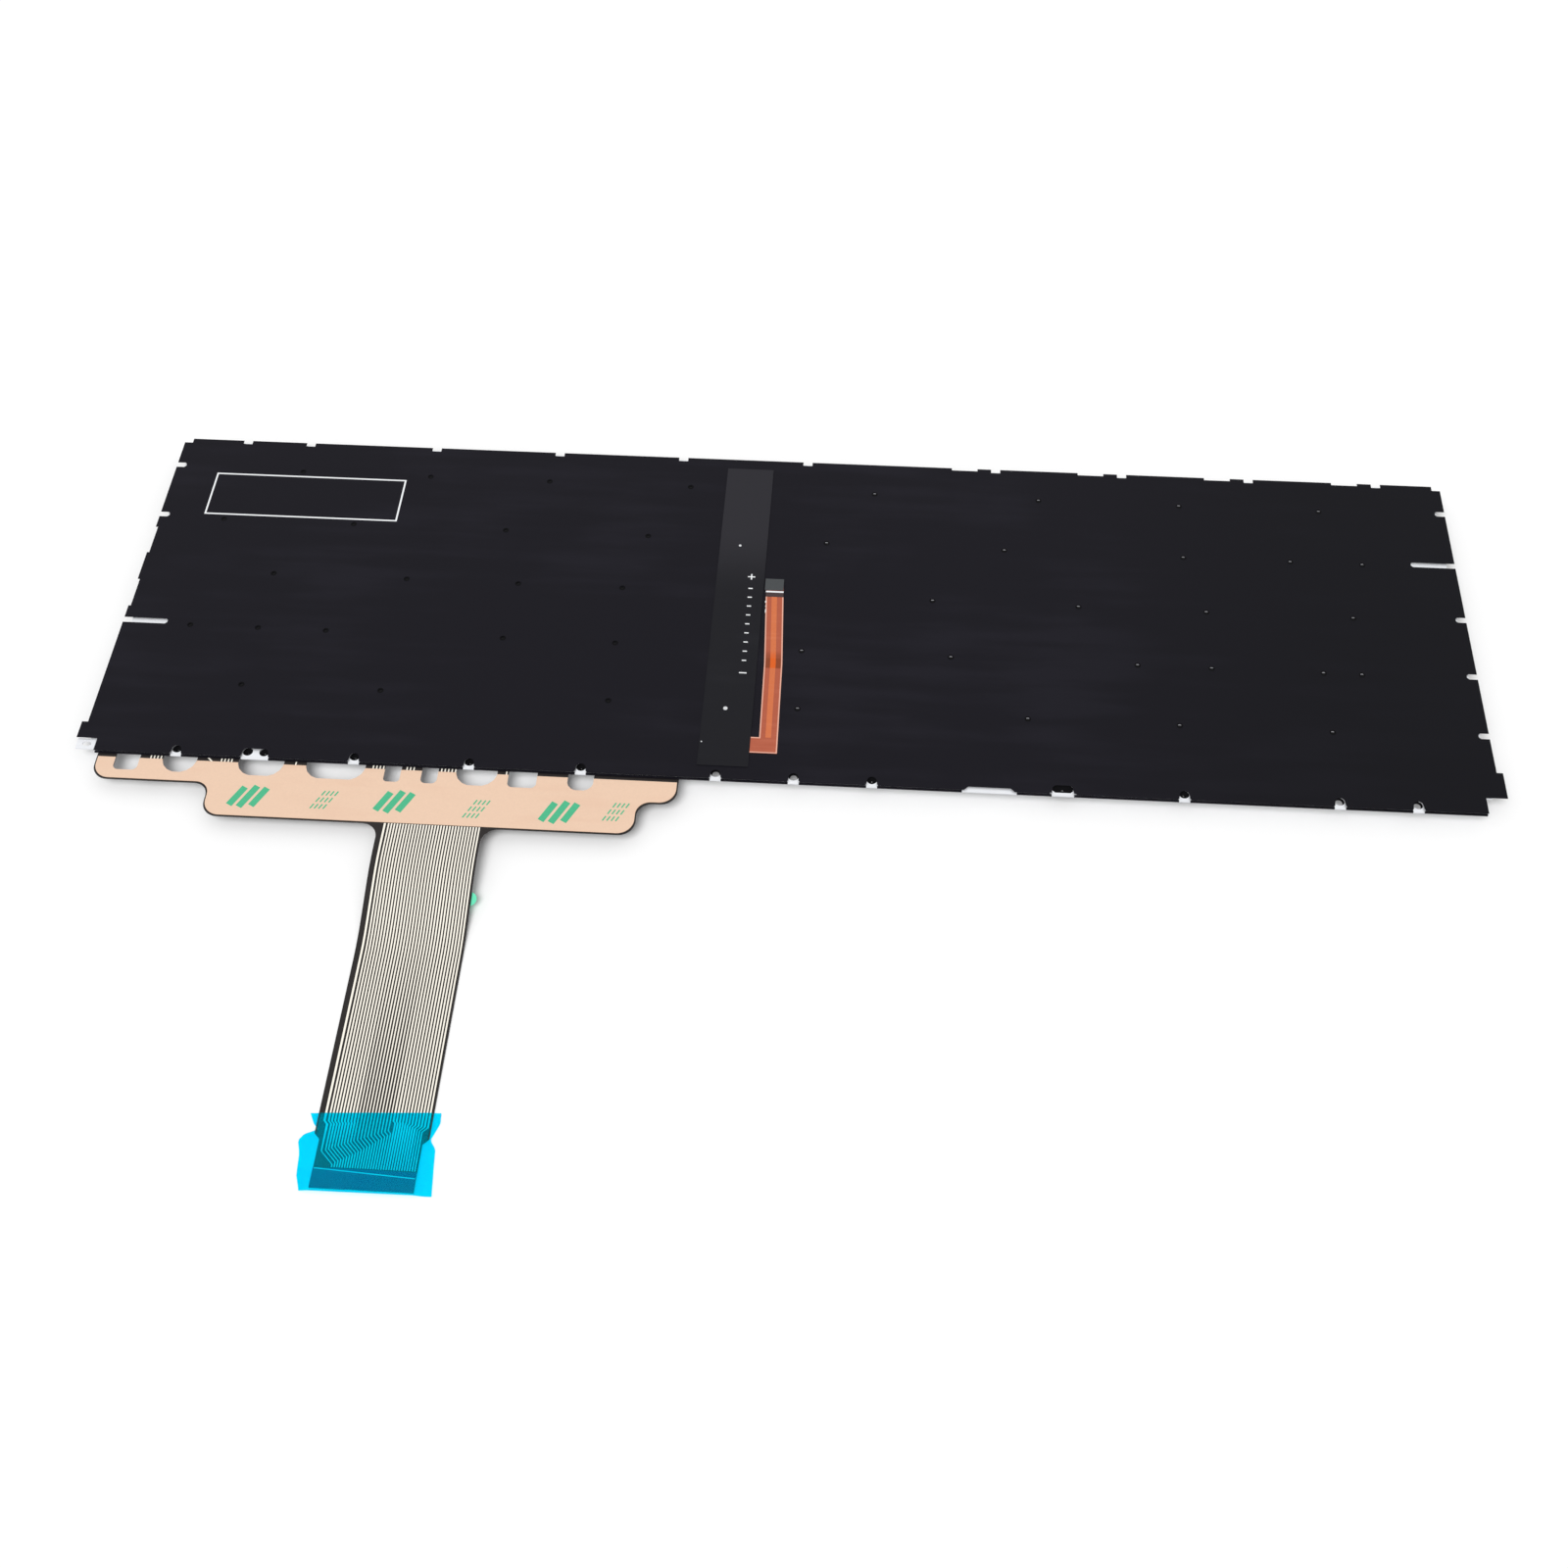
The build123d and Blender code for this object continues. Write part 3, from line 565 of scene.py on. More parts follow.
EDGE_LINE, EDGE_WIDTH = -93.59, 0.48
LINE_COUNT, LINE_FIRST, LINE_PITCH, LINE_WIDTH = 32, -92.66, 0.702, 0.36
LINE_PLACES = [EDGE_LINE, *(LINE_FIRST + line * LINE_PITCH for line in range(LINE_COUNT))]
END_PITCH = 0.56
END_WIDTH = 0.24
MIDDLE_LINE = 20
MIDDLE_SHIFT = 0.6
SMALL_JOG_LINES = 10
SMALL_JOG = 0.75
ROOT_Y, JOG_Y, LINE_END = -70.3, -145.2, -155.7
NARROW_Y = JOG_Y - 1
LEFT_JOG_Y, LEFT_JOG_RISE = -152.2, 5.4
RIGHT_JOG_Y, RIGHT_JOG_STEP = -144.4, 0.1
DROP_FIRST, DROP_COUNT = -72.0, 32
DROP_ROWS = [DROP_FIRST - step for step in range(DROP_COUNT)]


def ribbon_rows(line):
    """Rows of one bare line: straight down the ribbon, then jogs that gather it at the contacts."""
    x = LINE_PLACES[line]
    gathered = LINE_PLACES[MIDDLE_LINE] + MIDDLE_SHIFT + (line - MIDDLE_LINE) * END_PITCH
    places = [(ROOT_Y, x)] + [(y, x) for y in DROP_ROWS]
    if line <= MIDDLE_LINE:
        jog = SMALL_JOG * max(0.0, 1 - line / SMALL_JOG_LINES)
        start = LEFT_JOG_Y + LEFT_JOG_RISE * line / MIDDLE_LINE
        if jog:
            places += [(JOG_Y, x), (JOG_Y - jog, x + jog)]
        places += [(start, x + jog), (start - (gathered - x - jog), gathered)]
    else:
        start = RIGHT_JOG_Y - RIGHT_JOG_STEP * (line - MIDDLE_LINE)
        places += [(start, x), (start - abs(gathered - x), gathered)]
    places.append((LINE_END, gathered))
    rows = []
    for y, middle in places:
        width = END_WIDTH
        if y > NARROW_Y:
            width = LINE_WIDTH if line else EDGE_WIDTH
        rows.append((y, middle - width / 2, middle + width / 2))
    return rows


bm = bmesh.new()
for line in range(len(LINE_PLACES)):
    add_strip(bm, ribbon_rows(line), 0)
lay_on(bm, "membrane")
finish_piece("ribbon_lines", bm, cream_gaps_and_highlight, thickness=PRINT)


# Painted highlight: a thin slanted pale line across the stiffener of the ribbon's end, along its
# rear edge

END_EDGE_HIGHLIGHT = (Vector((-93.6, -156.15)), Vector((-71.6, -157.4)))
END_EDGE_HIGHLIGHT_WIDTH = 0.22
slant = END_EDGE_HIGHLIGHT[1] - END_EDGE_HIGHLIGHT[0]
bm = bmesh.new()
add_bar(bm, (END_EDGE_HIGHLIGHT[0] + END_EDGE_HIGHLIGHT[1]) / 2, (slant.length, END_EDGE_HIGHLIGHT_WIDTH),
        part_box("ribbon_stiffener")[1].z + PRINT_GAP, math.atan2(slant.y, slant.x))
finish_piece("end_edge_highlight", bm, cream_gaps_and_highlight, thickness=PRINT)


# Contacts on the under side of the ribbon's end

CONTACT_REAR, CONTACT_FRONT = -156.6, -160.0
CONTACT_WIDTH, CONTACT_SHIFT = 0.32, 0.3
bm = bmesh.new()
for line in range(LINE_COUNT + 1):
    middle = ribbon_rows(0)[-1][1] + (line - CONTACT_SHIFT) * END_PITCH
    add_strip(bm, [(CONTACT_REAR, middle - CONTACT_WIDTH / 2, middle + CONTACT_WIDTH / 2),
                   (CONTACT_FRONT, middle - CONTACT_WIDTH / 2, middle + CONTACT_WIDTH / 2)],
              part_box("membrane")[0].z - PRINT_GAP)
bmesh.ops.reverse_faces(bm, faces=bm.faces)
finish_piece("ribbon_contacts", bm, contact_carbon, thickness=PRINT)


# Green marks on the release paper: slanted bars and fine dashes

MARK_ANGLE = math.radians(62)
BOLD_BARS = ((-128.0, -64.6), (-92.5, -64.2), (-52.5, -65.0))
DASH_GROUPS = ((-111.0, -64.6), (-74.0, -65.2), (-40.5, -64.2))
BAR_LENGTH, BAR_WIDTH, BAR_STEP = 7.0, 1.7, 2.7
DASH_LENGTH, DASH_WIDTH, DASH_STEP, DASH_GAP, DASH_COLUMNS = 1.5, 0.35, 1.05, 0.7, 4

bm = bmesh.new()
for x, y in BOLD_BARS:
    for step in (-1, 0, 1):
        add_bar(bm, (x + step * BAR_STEP, y), (BAR_LENGTH - abs(step), BAR_WIDTH),
                TAPE_TOP + PRINT_GAP, MARK_ANGLE)
for x, y in DASH_GROUPS:
    for column in range(DASH_COLUMNS):
        for row in range(-1, 2):
            shift = row * (DASH_LENGTH + DASH_GAP)
            place = (x + column * DASH_STEP + shift * math.cos(MARK_ANGLE),
                     y + shift * math.sin(MARK_ANGLE))
            add_bar(bm, place, (DASH_LENGTH, DASH_WIDTH), TAPE_TOP + PRINT_GAP, MARK_ANGLE)
finish_piece("liner_marks", bm, print_green, thickness=PRINT)


# The orange tail: lighter rims, a wide covered trace, a white line and a dark cover at its end

TAIL_LOW, TAIL_HIGH = -7.73, -3.13
TAIL_REAR, TAIL_END, TAIL_BEND = 10.5, 4.5, -17.5
BEND_DRIFT, FOOT_DRIFT = 1.3, 1.65
FOOT_REAR, FOOT_FRONT, FOOT_LOW = -40.8, -45.5, -8.2
RIM = 0.32
TRACE_LOW, TRACE_HIGH = -6.2, -4.8
COVER_REAR, WHITE_REAR, WHITE_FRONT = 6.6, 6.5, 6.0
GLUE_SPECKS = ((2.7, 0.7, 0.34), (1.2, 0.5, 0.16), (-0.4, 1.3, 0.26))
GLUE_THICKNESS = 0.1


def tail_drift(y):
    """How far the tail has moved sideways at a place along it."""
    if y > TAIL_BEND:
        return BEND_DRIFT * (TAIL_REAR - y) / (TAIL_REAR - TAIL_BEND)
    share = (TAIL_BEND - y) / (TAIL_BEND - FOOT_FRONT)
    return BEND_DRIFT + (FOOT_DRIFT - BEND_DRIFT) * min(1.0, share)


def tail_rows(low, high, *places):
    """Rows of a strip along the tail, through places along it."""
    return [(y, low + tail_drift(y), high + tail_drift(y)) for y in places]


bm = bmesh.new()
add_strip(bm, tail_rows(TAIL_LOW, TAIL_LOW + RIM, TAIL_END, TAIL_BEND, FOOT_REAR - RIM),
          FLEX_TOP + PRINT_GAP)
add_strip(bm, tail_rows(TAIL_HIGH - RIM, TAIL_HIGH, TAIL_END, TAIL_BEND, FOOT_FRONT),
          FLEX_TOP + PRINT_GAP)
foot_corner = TAIL_LOW + tail_drift(FOOT_REAR)
foot_high = TAIL_HIGH + tail_drift(FOOT_FRONT) - RIM
add_strip(bm, [(FOOT_REAR, FOOT_LOW, foot_corner), (FOOT_REAR - RIM, FOOT_LOW, foot_corner)],
          FLEX_TOP + PRINT_GAP)
add_strip(bm, [(FOOT_FRONT + RIM, FOOT_LOW, foot_high), (FOOT_FRONT, FOOT_LOW, foot_high)],
          FLEX_TOP + PRINT_GAP)
finish_piece("tail_rims", bm, tail_rim, thickness=PRINT)

bm = bmesh.new()
add_strip(bm, tail_rows(TRACE_LOW, TRACE_HIGH, TAIL_END, TAIL_BEND, FOOT_REAR),
          FLEX_TOP + PRINT_GAP)
finish_piece("tail_trace", bm, tail_copper, thickness=PRINT)

bm = bmesh.new()
add_strip(bm, tail_rows(TAIL_LOW, TAIL_HIGH, COVER_REAR, TAIL_END), FLEX_TOP + PRINT_GAP)
finish_piece("tail_cover", bm, tail_dark, thickness=PRINT)

bm = bmesh.new()
add_strip(bm, tail_rows(TAIL_LOW, TAIL_HIGH, WHITE_REAR, WHITE_FRONT),
          FLEX_TOP + 2 * PRINT_GAP + PRINT)
finish_piece("tail_line", bm, print_white, thickness=PRINT)

bm = bmesh.new()
for y, length, width in GLUE_SPECKS:
    middle = TAIL_LOW + tail_drift(y)
    add_strip(bm, [(y + length / 2, middle - width / 4, middle + width / 4),
                   (y, middle - width / 2, middle + width / 2),
                   (y - length / 2, middle - width / 4, middle + width / 4)],
              FLEX_TOP + 2 * PRINT_GAP + PRINT)
finish_piece("tail_glue", bm, glue_white, thickness=GLUE_THICKNESS * MM)


# Painted shade: dark cones under the screw holes of the plate, standing in for the shade inside the
# holes

PLATE_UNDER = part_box("base_plate")[0].z
HOLE_SHADE_DEPTH, HOLE_SHADE_WALL, HOLE_SHADE_TAPER = 0.5, 0.3, 0.12
HOLE_SHADE_SIDES, HOLE_SHADE_CLEARANCE = 20, 0.02
OPEN_TAPER, OPEN_SPANS = 0.7, ((-20.0, 10.0), (120.0, 160.0))
WIDE_HOLE = (67.83, 5.2)
screw_holes = []
for mount in frame["record"]["mounts"]:
    if mount["kind"] == "bolt_pattern":
        half = mount["dims"]["spacing_x_mm"] / 2
        x, y = (part / MM for part in mount["pos_m"][:2])
        screw_holes += [(x - half, y, 0.0), (x + half, y, 0.0)]
        screw_radius = mount["dims"]["hole_r_mm"]
        screw_y = y
screw_holes.append((WIDE_HOLE[0], screw_y, WIDE_HOLE[1] / 2 - screw_radius))

bm = bmesh.new()
for x, y, stretch in screw_holes:
    ring = bmesh.ops.create_circle(bm, cap_ends=False, segments=HOLE_SHADE_SIDES,
                                   radius=(screw_radius + HOLE_SHADE_CLEARANCE) * MM)["verts"]
    for vert in ring:
        vert.co.x += math.copysign(stretch * MM, vert.co.x)
    bmesh.ops.translate(bm, verts=ring, vec=(x * MM, y * MM, PLATE_UNDER - PRINT_GAP))
    rim_edges = list({edge for vert in ring for edge in vert.link_edges})
    made = bmesh.ops.extrude_edge_only(bm, edges=rim_edges)["geom"]
    lower = [part for part in made if isinstance(part, bmesh.types.BMVert)]
    bmesh.ops.translate(bm, verts=lower, vec=(0, 0, -HOLE_SHADE_DEPTH * MM))
    around = Matrix.Translation((-x * MM, -y * MM, 0))
    taper = OPEN_TAPER if any(start < x < end for start, end in OPEN_SPANS) else HOLE_SHADE_TAPER
    bmesh.ops.scale(bm, verts=lower, vec=(taper, taper, 1), space=around)
bmesh.ops.recalc_face_normals(bm, faces=bm.faces)
finish_piece("screw_hole_shades", bm, hole_shade_black, thickness=HOLE_SHADE_WALL * MM)


# The film's lip round each screw hole, and the black hem of the front edge between the holes

LIP_GAP, LIP_OVERLAP, LIP_OVERHANG = 0.08, 0.1, 0.58
LIP_WIDTH, WIDE_LIP_WIDTH = 1.1, 1.9
LIP_STEPS = 6
HEM_SHORTEST = 2.0
HEM_LEFT, HEM_RIGHT = -168.6, 168.6
HEM_REAR, HEM_FRONT = -53.3, -53.765
FRONT_RECESS = (43.6, 56.8)
PLATE_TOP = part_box("base_plate")[1].z


def add_lip(bm, left_x, right_x, y, width):
    """A flat lip from the front edge, round the rear of one hole or of a row of holes, and back."""
    leg, rear = screw_radius + LIP_GAP, screw_radius - LIP_OVERLAP
    y -= LIP_OVERHANG
    path = [(left_x, HEM_REAR, math.pi, leg)]
    for corner, start in ((left_x, math.pi), (right_x, math.pi / 2)):
        path += [(corner, y, start - math.pi / 2 * step / LIP_STEPS, rear)
                 for step in range(LIP_STEPS + 1)]
    path.append((right_x, HEM_REAR, 0.0, leg))
    edges = []
    for x, start_y, angle, inside in path:
        ends = [Vector((x + math.cos(angle) * reach, start_y + math.sin(angle) * reach)) * MM
                for reach in (inside, inside + width)]
        edges.append([bm.verts.new((*end, FILM_TOP + PRINT_GAP)) for end in ends])
    face_up(bm, [bm.faces.new((*near, *reversed(far))) for near, far in zip(edges, edges[1:])])


singles = sorted(screw_holes)
bm = bmesh.new()
spans = []
while singles:
    x, y, stretch = singles.pop(0)
    left_x, right_x = x - stretch, x + stretch
    if singles and singles[0][0] - x < 3 * screw_radius + HEM_SHORTEST:
        right_x = singles.pop(0)[0]
    add_lip(bm, left_x, right_x, y, WIDE_LIP_WIDTH if stretch else LIP_WIDTH)
    spans.append((left_x - screw_radius - LIP_GAP, right_x + screw_radius + LIP_GAP))
finish_piece("screw_lips", bm, film_black, thickness=PRINT)

ends = [HEM_LEFT, *(x for span in sorted([*spans, FRONT_RECESS]) for x in span), HEM_RIGHT]
bm = bmesh.new()
for start, end in zip(ends[::2], ends[1::2]):
    rows = [(HEM_REAR, start, end), (HEM_FRONT, start, end), (HEM_FRONT - PRINT, start, end)]
    add_strip(bm, rows, PLATE_TOP + PRINT_GAP)
for vert in bm.verts:
    if vert.co.y < (HEM_FRONT - PRINT / 2) * MM:
        vert.co.z = PLATE_UNDER
finish_piece("front_hem", bm, film_black, thickness=PRINT)


# The blue wrap over the contact end: a crumpled sheet with necked sides that drops to the floor

WRAP_LEFT = ((-143.6, -97.0), (-146.0, -95.8), (-147.3, -94.6), (-148.5, -97.4), (-150.0, -98.4),
             (-153.0, -97.5), (-157.8, -97.1), (-161.3, -95.9))
WRAP_RIGHT = ((-142.0, -68.6), (-144.5, -68.4), (-146.9, -69.3), (-148.4, -69.9), (-150.4, -68.5),
              (-152.8, -68.3), (-157.0, -67.9), (-161.1, -67.5))
WRAP_COLUMNS, WRAP_ROWS = 34, 22
RIBBON_MIDDLE, RIBBON_HALF = -82.66, 11.4
STIFFENER_Y = -156.0
EASE_ACROSS, EASE_ALONG = 1.8, 1.5
CRUMPLE_SCALE, CRUMPLE_SEED, CRUMPLE_HEIGHT, CRUMPLE_LOOSE = 0.45, 3.1, 0.05, 1.6
LIFT_OFF_FLOOR, LIFT_ON_RIBBON, LIFT_ON_STIFFENER = 0.08, 0.24, 0.2
WRAP_THICKNESS = 0.04


def along_outline(outline, share):
    """The point at a share of the way down an outline of (y, x) points."""
    place = share * (len(outline) - 1)
    index = min(int(place), len(outline) - 2)
    part = place - index
    return [a + (b - a) * part for a, b in zip(outline[index], outline[index + 1])]


def ease(value):
    """A smooth step from 0 to 1."""
    value = min(1.0, max(0.0, value))
    return value * value * (3 - 2 * value)


bm = bmesh.new()
bmesh.ops.create_grid(bm, x_segments=WRAP_COLUMNS, y_segments=WRAP_ROWS, size=0.5)
for vert in bm.verts:
    across, down = vert.co.x + 0.5, 0.5 - vert.co.y
    left = along_outline(WRAP_LEFT, down)
    right = along_outline(WRAP_RIGHT, down)
    y = left[0] + (right[0] - left[0]) * across
    x = left[1] + (right[1] - left[1]) * across
    on_ribbon = 1 - ease((abs(x - RIBBON_MIDDLE) - RIBBON_HALF) / EASE_ACROSS)
    on_stiffener = 1 - ease((y - STIFFENER_Y) / EASE_ALONG)
    crumple = noise.noise(Vector((x * CRUMPLE_SCALE, y * CRUMPLE_SCALE, CRUMPLE_SEED)))
    lift = (LIFT_OFF_FLOOR + on_ribbon * (LIFT_ON_RIBBON + LIFT_ON_STIFFENER * on_stiffener)
            + CRUMPLE_HEIGHT * abs(crumple) * (CRUMPLE_LOOSE - on_ribbon))
    vert.co = (x * MM, y * MM, lift * MM)
face_up(bm, bm.faces)
wrap = finish_piece("contact_wrap", bm, wrap_blue, thickness=WRAP_THICKNESS * MM)
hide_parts("protective_film")


# The inspection sticker under the ribbon's edge

DOT_PLACE, DOT_RADIUS, DOT_SIDES = (-70.6, -89.0), 1.7, 28
DOT_HEIGHT, DOT_THICKNESS = 2.18, 0.05
RIBBON_FALL, RIBBON_RUN = 3.9, 19.0
bm = bmesh.new()
add_disc(bm, DOT_PLACE, DOT_RADIUS, 0, sides=DOT_SIDES)
slope = Matrix.Rotation(math.atan2(RIBBON_FALL, RIBBON_RUN), 3, "X")
dot_centre = Vector((DOT_PLACE[0] * MM, DOT_PLACE[1] * MM, 0))
bmesh.ops.rotate(bm, verts=bm.verts, cent=dot_centre, matrix=slope)
bmesh.ops.translate(bm, verts=bm.verts, vec=(0, 0, DOT_HEIGHT * MM))
finish_piece("inspection_dot", bm, dot_green, thickness=DOT_THICKNESS * MM)


# Keycaps: softened edges on the solids, and printed legends

CAP_ROUNDING, ROUNDING_STEPS, ROUNDING_ANGLE = 0.22, 2, 28

for node_name, node in nodes.items():
    if node_name.startswith("key_") or node_name.endswith("_keys"):
        weld = node.modifiers.new("joined_faces", "WELD")
        weld.merge_threshold = SEAM
        soft = node.modifiers.new("soft_edges", "BEVEL")
        soft.width = CAP_ROUNDING * MM
        soft.segments = ROUNDING_STEPS
        soft.limit_method = "ANGLE"
        soft.angle_limit = math.radians(ROUNDING_ANGLE)

typing_legends = {
    "tab": "tab", "caps_lock": "caps", "shift_left": "shift", "shift_right": "shift",
    "enter": "enter",
    "bracket_left": "[", "bracket_right": "]", "semicolon": ";", "quote": "'", "hash": "#",
    "backslash": "\\", "comma": ",", "period": ".", "slash": "/", "space": "",
}
group_legends = {
    "function_row_keys": ["esc", *(f"f{number}" for number in range(1, 13)), "prt", "ins", "del",
                          "home", "end", "pg up", "pg dn"],
    "number_row_keys": [*"`1234567890-=", "back"],
    "lower_row_keys": ["ctrl", "fn", "menu", "alt", "alt gr", "ctrl", "<", "^", ">", "v"],
    "keypad_keys": ["num", "/", "*", "-", "7", "8", "9", "+", "4", "5", "6", "1", "2", "3", "enter",
                    "0", "."],
}
LETTER_SIZE, WORD_SIZE, LARGEST_SHARE = 4.2, 3.0, 0.42
LEGEND_INSET_X, LEGEND_INSET_Y = 2.2, 1.9


def add_legend(bm, text, box):
    """One legend at the corner of a key top that is the user's upper left."""
    if not text:
        return
    curve = bpy.data.curves.new("legend", "FONT")
    curve.body = text
    curve.resolution_u = 3
    size = LETTER_SIZE if len(text) == 1 else WORD_SIZE
    size = min(size, (box[1].y - box[0].y) / MM * LARGEST_SHARE)
    curve.size = size * MM
    curve.align_x = "LEFT"
    curve.align_y = "TOP"
    letters = bpy.data.objects.new("legend", curve)
    mesh = bpy.data.meshes.new_from_object(letters)
    corner = Vector((box[1].x - LEGEND_INSET_X * MM, box[1].y - LEGEND_INSET_Y * MM, -PRINT_GAP))
    mesh.transform(Matrix.Translation(corner) @ Matrix.Rotation(math.pi, 4, "Y"))
    bm.from_mesh(mesh)
    bpy.data.objects.remove(letters)
    bpy.data.curves.remove(curve)
    bpy.data.meshes.remove(mesh)


key_boxes = {}
for node_name in sorted(nodes):
    if node_name.startswith("key_"):
        key = node_name[4:]
        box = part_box(node_name)
        key_boxes[node_name] = [box]
        legend = typing_legends.get(key, key.upper())
        if legend:
            bm = bmesh.new()
            add_legend(bm, legend, box)
            finish_piece(f"legend_{key}", bm, legend_white, body=node_name,
                         thickness=PRINT)
for node_name, legends in group_legends.items():
    boxes = sorted(islands(node_name), key=lambda box: (-round(box[1].y / MM), -box[1].x))
    key_boxes[node_name] = boxes
    bm = bmesh.new()
    for legend, box in zip(legends, boxes):
        add_legend(bm, legend, box)
    finish_piece(f"legends_{node_name}", bm, legend_white, thickness=PRINT)


# Key lifts: a silicone dome and a pair of crossed links under each cap

CAP_INSIDE = 1.03 * MM
DOME_PROFILE = ((2.9, 3.86), (2.7, 3.5), (1.9, 2.0), (1.5, 1.3), (1.1, 1.06))
DOME_SIDES = 12
DOME_ROOM = 7.0
LINK_BAR, LINK_THICK = 0.95, 0.42
LINK_LENGTH, OUTER_WIDTH = 10.4, 11.6
CAP_WALLS, LINK_GAP = 3.2, 0.4


def add_dome(bm, x, y, share):
    """A round dome from membrane to cap, closed at its top, at a share of its full width."""
    foot = DOME_PROFILE[0][0] * share * MM
    ring = bmesh.ops.create_circle(bm, cap_ends=False, segments=DOME_SIDES, radius=foot)["verts"]
    bmesh.ops.translate(bm, verts=ring, vec=(x, y, DOME_PROFILE[0][1] * MM))
    edges = list({edge for vert in ring for edge in vert.link_edges})
    faces = []
    for (wide, _), (narrow, height) in zip(DOME_PROFILE, DOME_PROFILE[1:]):
        made = bmesh.ops.extrude_edge_only(bm, edges=edges)["geom"]
        ring = [part for part in made if isinstance(part, bmesh.types.BMVert)]
        edges = [part for part in made if isinstance(part, bmesh.types.BMEdge)]
        faces += [part for part in made if isinstance(part, bmesh.types.BMFace)]
        around = Matrix.Translation((-x, -y, 0))
        bmesh.ops.scale(bm, verts=ring, vec=(narrow / wide, narrow / wide, 1), space=around)
        for vert in ring:
            vert.co.z = height * MM
    faces += bmesh.ops.contextual_create(bm, geom=edges)["faces"]
    bmesh.ops.recalc_face_normals(bm, faces=faces)
    for face in faces:
        face.smooth = True


def add_link(bm, x, y, width, length, turn):
    """One frame of a pair of links, tilted from the membrane up to the cap."""
    before = set(bm.verts)
    add_bar(bm, (0, 0), (width, length), 0)
    face = next(face for vert in bm.verts if vert not in before for face in vert.link_faces)
    open_middle(bm, [face], LINK_BAR)
    rim = list({face for vert in bm.verts if vert not in before for face in vert.link_faces})
    made = bmesh.ops.extrude_face_region(bm, geom=rim)["geom"]
    bmesh.ops.translate(bm, verts=[part for part in made if isinstance(part, bmesh.types.BMVert)],
                        vec=(0, 0, LINK_THICK * MM))
    verts = [vert for vert in bm.verts if vert not in before]
    fall = MEMBRANE_UNDER - CAP_INSIDE - 1.5 * LINK_THICK * MM
    tilt = turn * math.asin(fall / (length * MM))
    bmesh.ops.translate(bm, verts=verts, vec=(0, 0, -LINK_THICK / 2 * MM))
    bmesh.ops.rotate(bm, verts=verts, matrix=Matrix.Rotation(tilt, 3, "X"))
    bmesh.ops.translate(bm, verts=verts, vec=(x, y, (MEMBRANE_UNDER + CAP_INSIDE) / 2))
    faces = list({face for vert in verts for face in vert.link_faces})
    bmesh.ops.recalc_face_normals(bm, faces=faces)
    for face in faces:
        face.material_index = 1


def add_lift(bm, centre, box):
    """A dome and two crossed links that fit inside a cap."""
    room_x = (box[1].x - box[0].x) / MM - CAP_WALLS
    room_y = (box[1].y - box[0].y) / MM - CAP_WALLS
    add_dome(bm, centre.x, centre.y, min(1.0, room_y / DOME_ROOM))
    width = min(OUTER_WIDTH, room_x)
    length = min(LINK_LENGTH, room_y)
    add_link(bm, centre.x, centre.y, width, length, 1)
    add_link(bm, centre.x, centre.y, width - 2 * LINK_BAR - LINK_GAP, length, -1)


fixed_lifts = bmesh.new()
for low, high in islands("rubber_domes"):
    centre = (low + high) / 2
    owner, box = next(
        (name, box) for name, boxes in key_boxes.items() for box in boxes
        if box[0].x < centre.x < box[1].x and box[0].y < centre.y < box[1].y
    )
    if owner.startswith("key_"):
        bm = bmesh.new()
        add_lift(bm, centre, box)
        lift = finish_piece(f"lift_{owner[4:]}", bm, [silicone, link_plastic])
        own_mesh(lift)
    else:
        add_lift(fixed_lifts, centre, box)
lifts = finish_piece("lifts_of_fixed_rows", fixed_lifts, [silicone, link_plastic])
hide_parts("rubber_domes")


# Floor, light and camera

FLOOR_HALF, FLOOR_DROP = 4.0, 0.04 * MM
WORLD_LEVEL = 0.62

bm = bmesh.new()
bmesh.ops.create_grid(bm, x_segments=1, y_segments=1, size=FLOOR_HALF)
bmesh.ops.translate(bm, verts=bm.verts, vec=(0, 0, -FLOOR_DROP))
floor_mesh = bpy.data.meshes.new("floor")
bm.to_mesh(floor_mesh)
bm.free()
floor = bpy.data.objects.new("floor", floor_mesh)
bpy.context.scene.collection.objects.link(floor)
floor_paint = bpy.data.materials.new("pale_floor")
floor_paint.use_nodes = True
floor_shader = floor_paint.node_tree.nodes["Principled BSDF"]
floor_shader.inputs["Base Color"].default_value = (0.94, 0.94, 0.94, 1)
floor_shader.inputs["Roughness"].default_value = 0.9
floor_shader.inputs["Specular IOR Level"].default_value = 0.0
floor_mesh.materials.append(floor_paint)

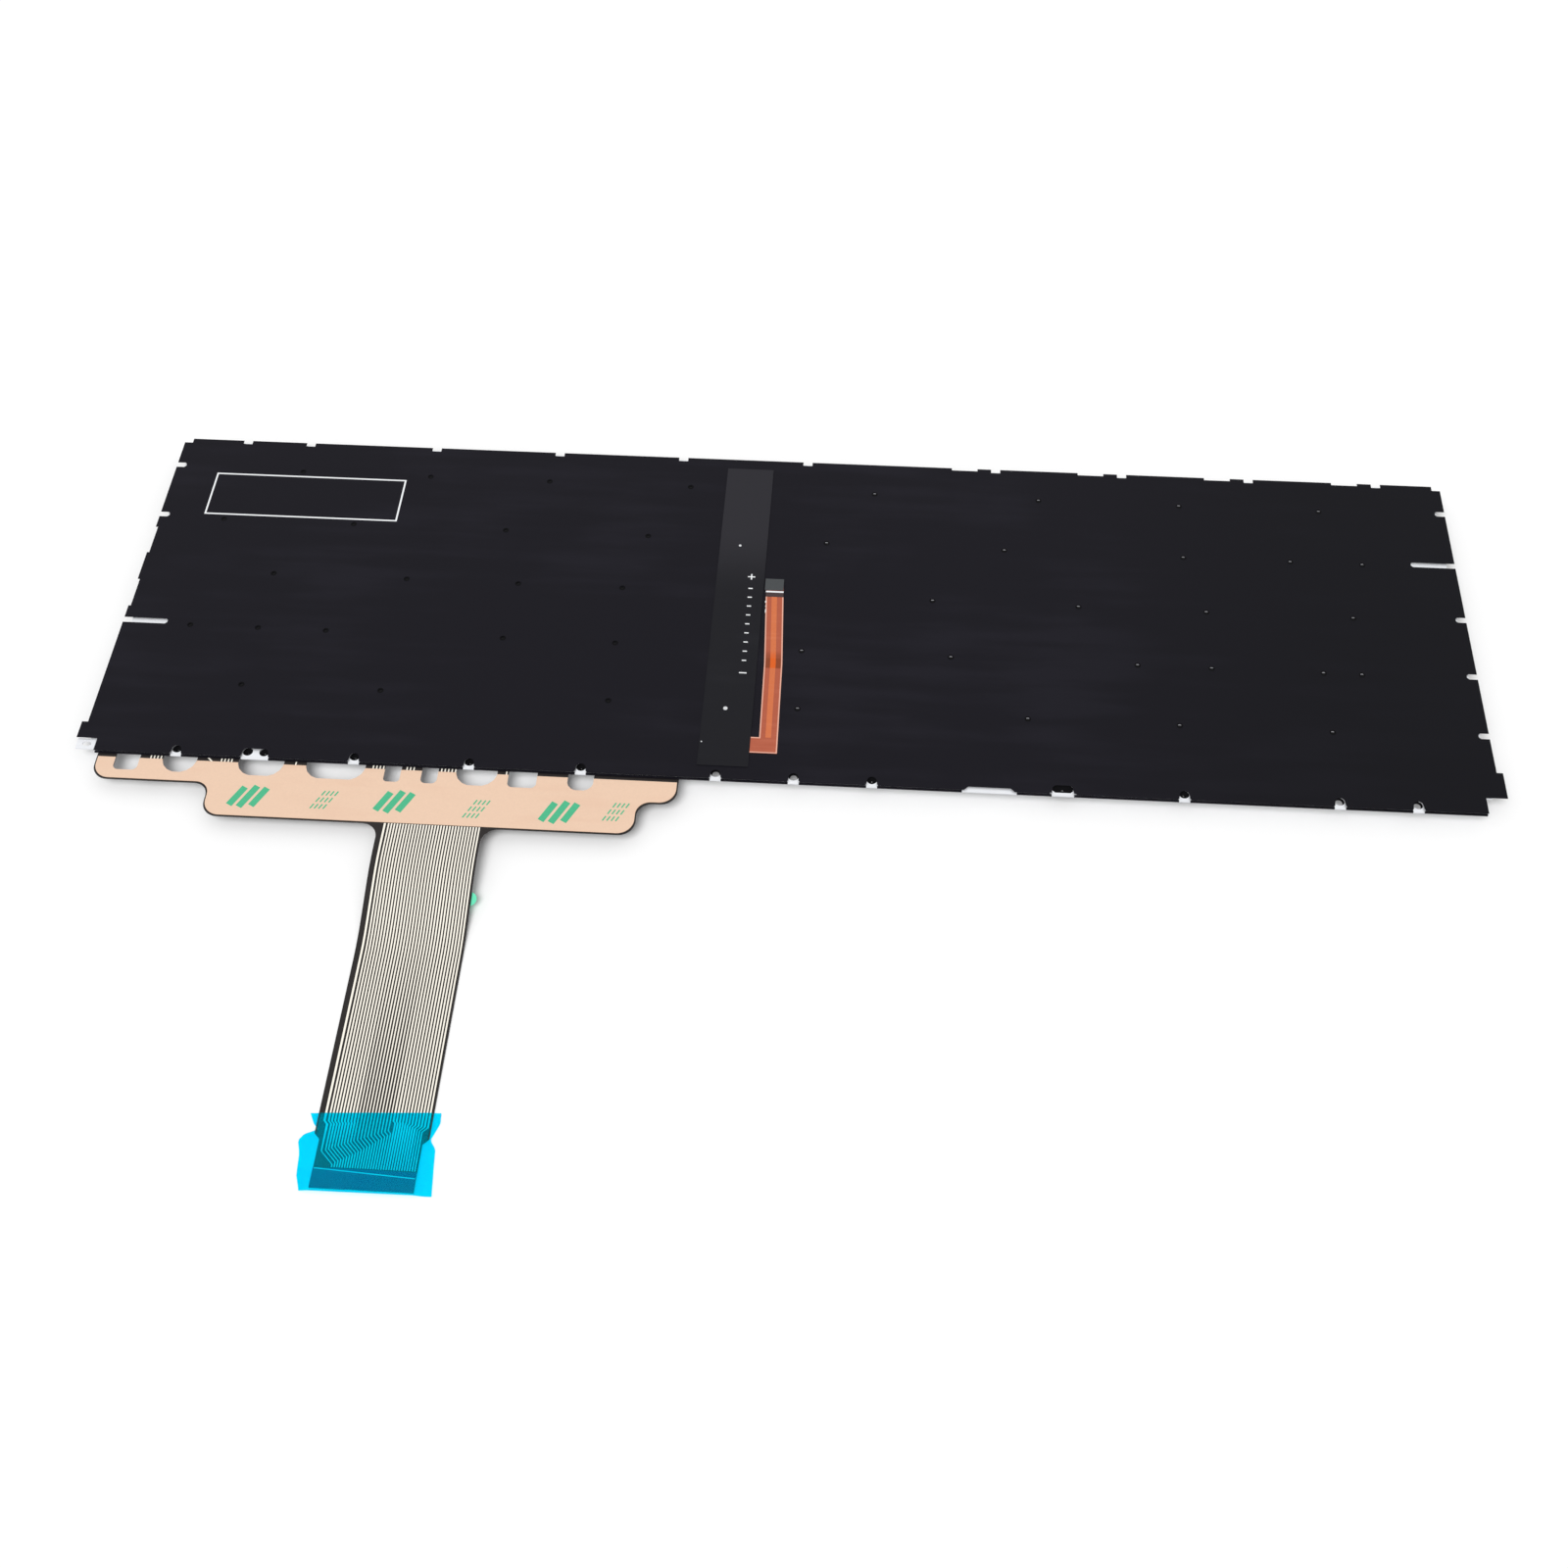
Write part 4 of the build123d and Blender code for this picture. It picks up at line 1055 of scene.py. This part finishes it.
# The floor shows from above only, so that the keys can be seen and lit from below
floor_tree = floor_paint.node_tree
side = floor_tree.nodes.new("ShaderNodeNewGeometry")
open_floor = floor_tree.nodes.new("ShaderNodeBsdfTransparent")
floor_mix = floor_tree.nodes.new("ShaderNodeMixShader")
floor_tree.links.new(side.outputs["Backfacing"], floor_mix.inputs["Fac"])
floor_tree.links.new(floor_shader.outputs["BSDF"], floor_mix.inputs[1])
floor_tree.links.new(open_floor.outputs["BSDF"], floor_mix.inputs[2])
floor_tree.links.new(floor_mix.outputs["Shader"],
                     floor_tree.nodes["Material Output"].inputs["Surface"])
floor.visible_diffuse = False
floor.visible_glossy = False

world = bpy.data.worlds.new("studio")
bpy.context.scene.world = world
world.use_nodes = True
sky = world.node_tree.nodes["Background"]
sky.inputs["Color"].default_value = (1, 1, 1, 1)
rays = world.node_tree.nodes.new("ShaderNodeLightPath")
seen = math_node(world.node_tree, "MAXIMUM", rays.outputs["Is Camera Ray"],
                 rays.outputs["Is Transmission Ray"])
seen = math_node(world.node_tree, "MAXIMUM", seen, rays.outputs["Is Glossy Ray"])
level = math_node(world.node_tree, "MULTIPLY_ADD", seen, 1.0 - WORLD_LEVEL, WORLD_LEVEL)
world.node_tree.links.new(level, sky.inputs["Strength"])

lamp = bpy.data.lights.new("window", "SUN")
lamp.energy = 1.85
lamp.angle = math.radians(35)
window = bpy.data.objects.new("window", lamp)
window.rotation_mode = "QUATERNION"
window.rotation_quaternion = Vector((0.2, 0.5, -0.84)).to_track_quat("-Z", "Y")
bpy.context.scene.collection.objects.link(window)

lens = bpy.data.cameras.new("camera")
lens.sensor_width = 36.0
lens.lens = 41.569
lens.clip_start = 0.01
lens.clip_end = 20
camera = bpy.data.objects.new("camera", lens)
right = Vector((0.998220, 0.059400, -0.005348))
ahead = Vector((-0.038286, 0.569469, -0.821121))
up = right.cross(ahead)
turn = Matrix((right, up, -ahead)).transposed().to_4x4()
camera.matrix_world = Matrix.Translation((0.017494, -0.302925, 0.363514)) @ turn
bpy.context.scene.collection.objects.link(camera)
bpy.context.scene.camera = camera
bpy.context.scene.view_settings.view_transform = "Standard"
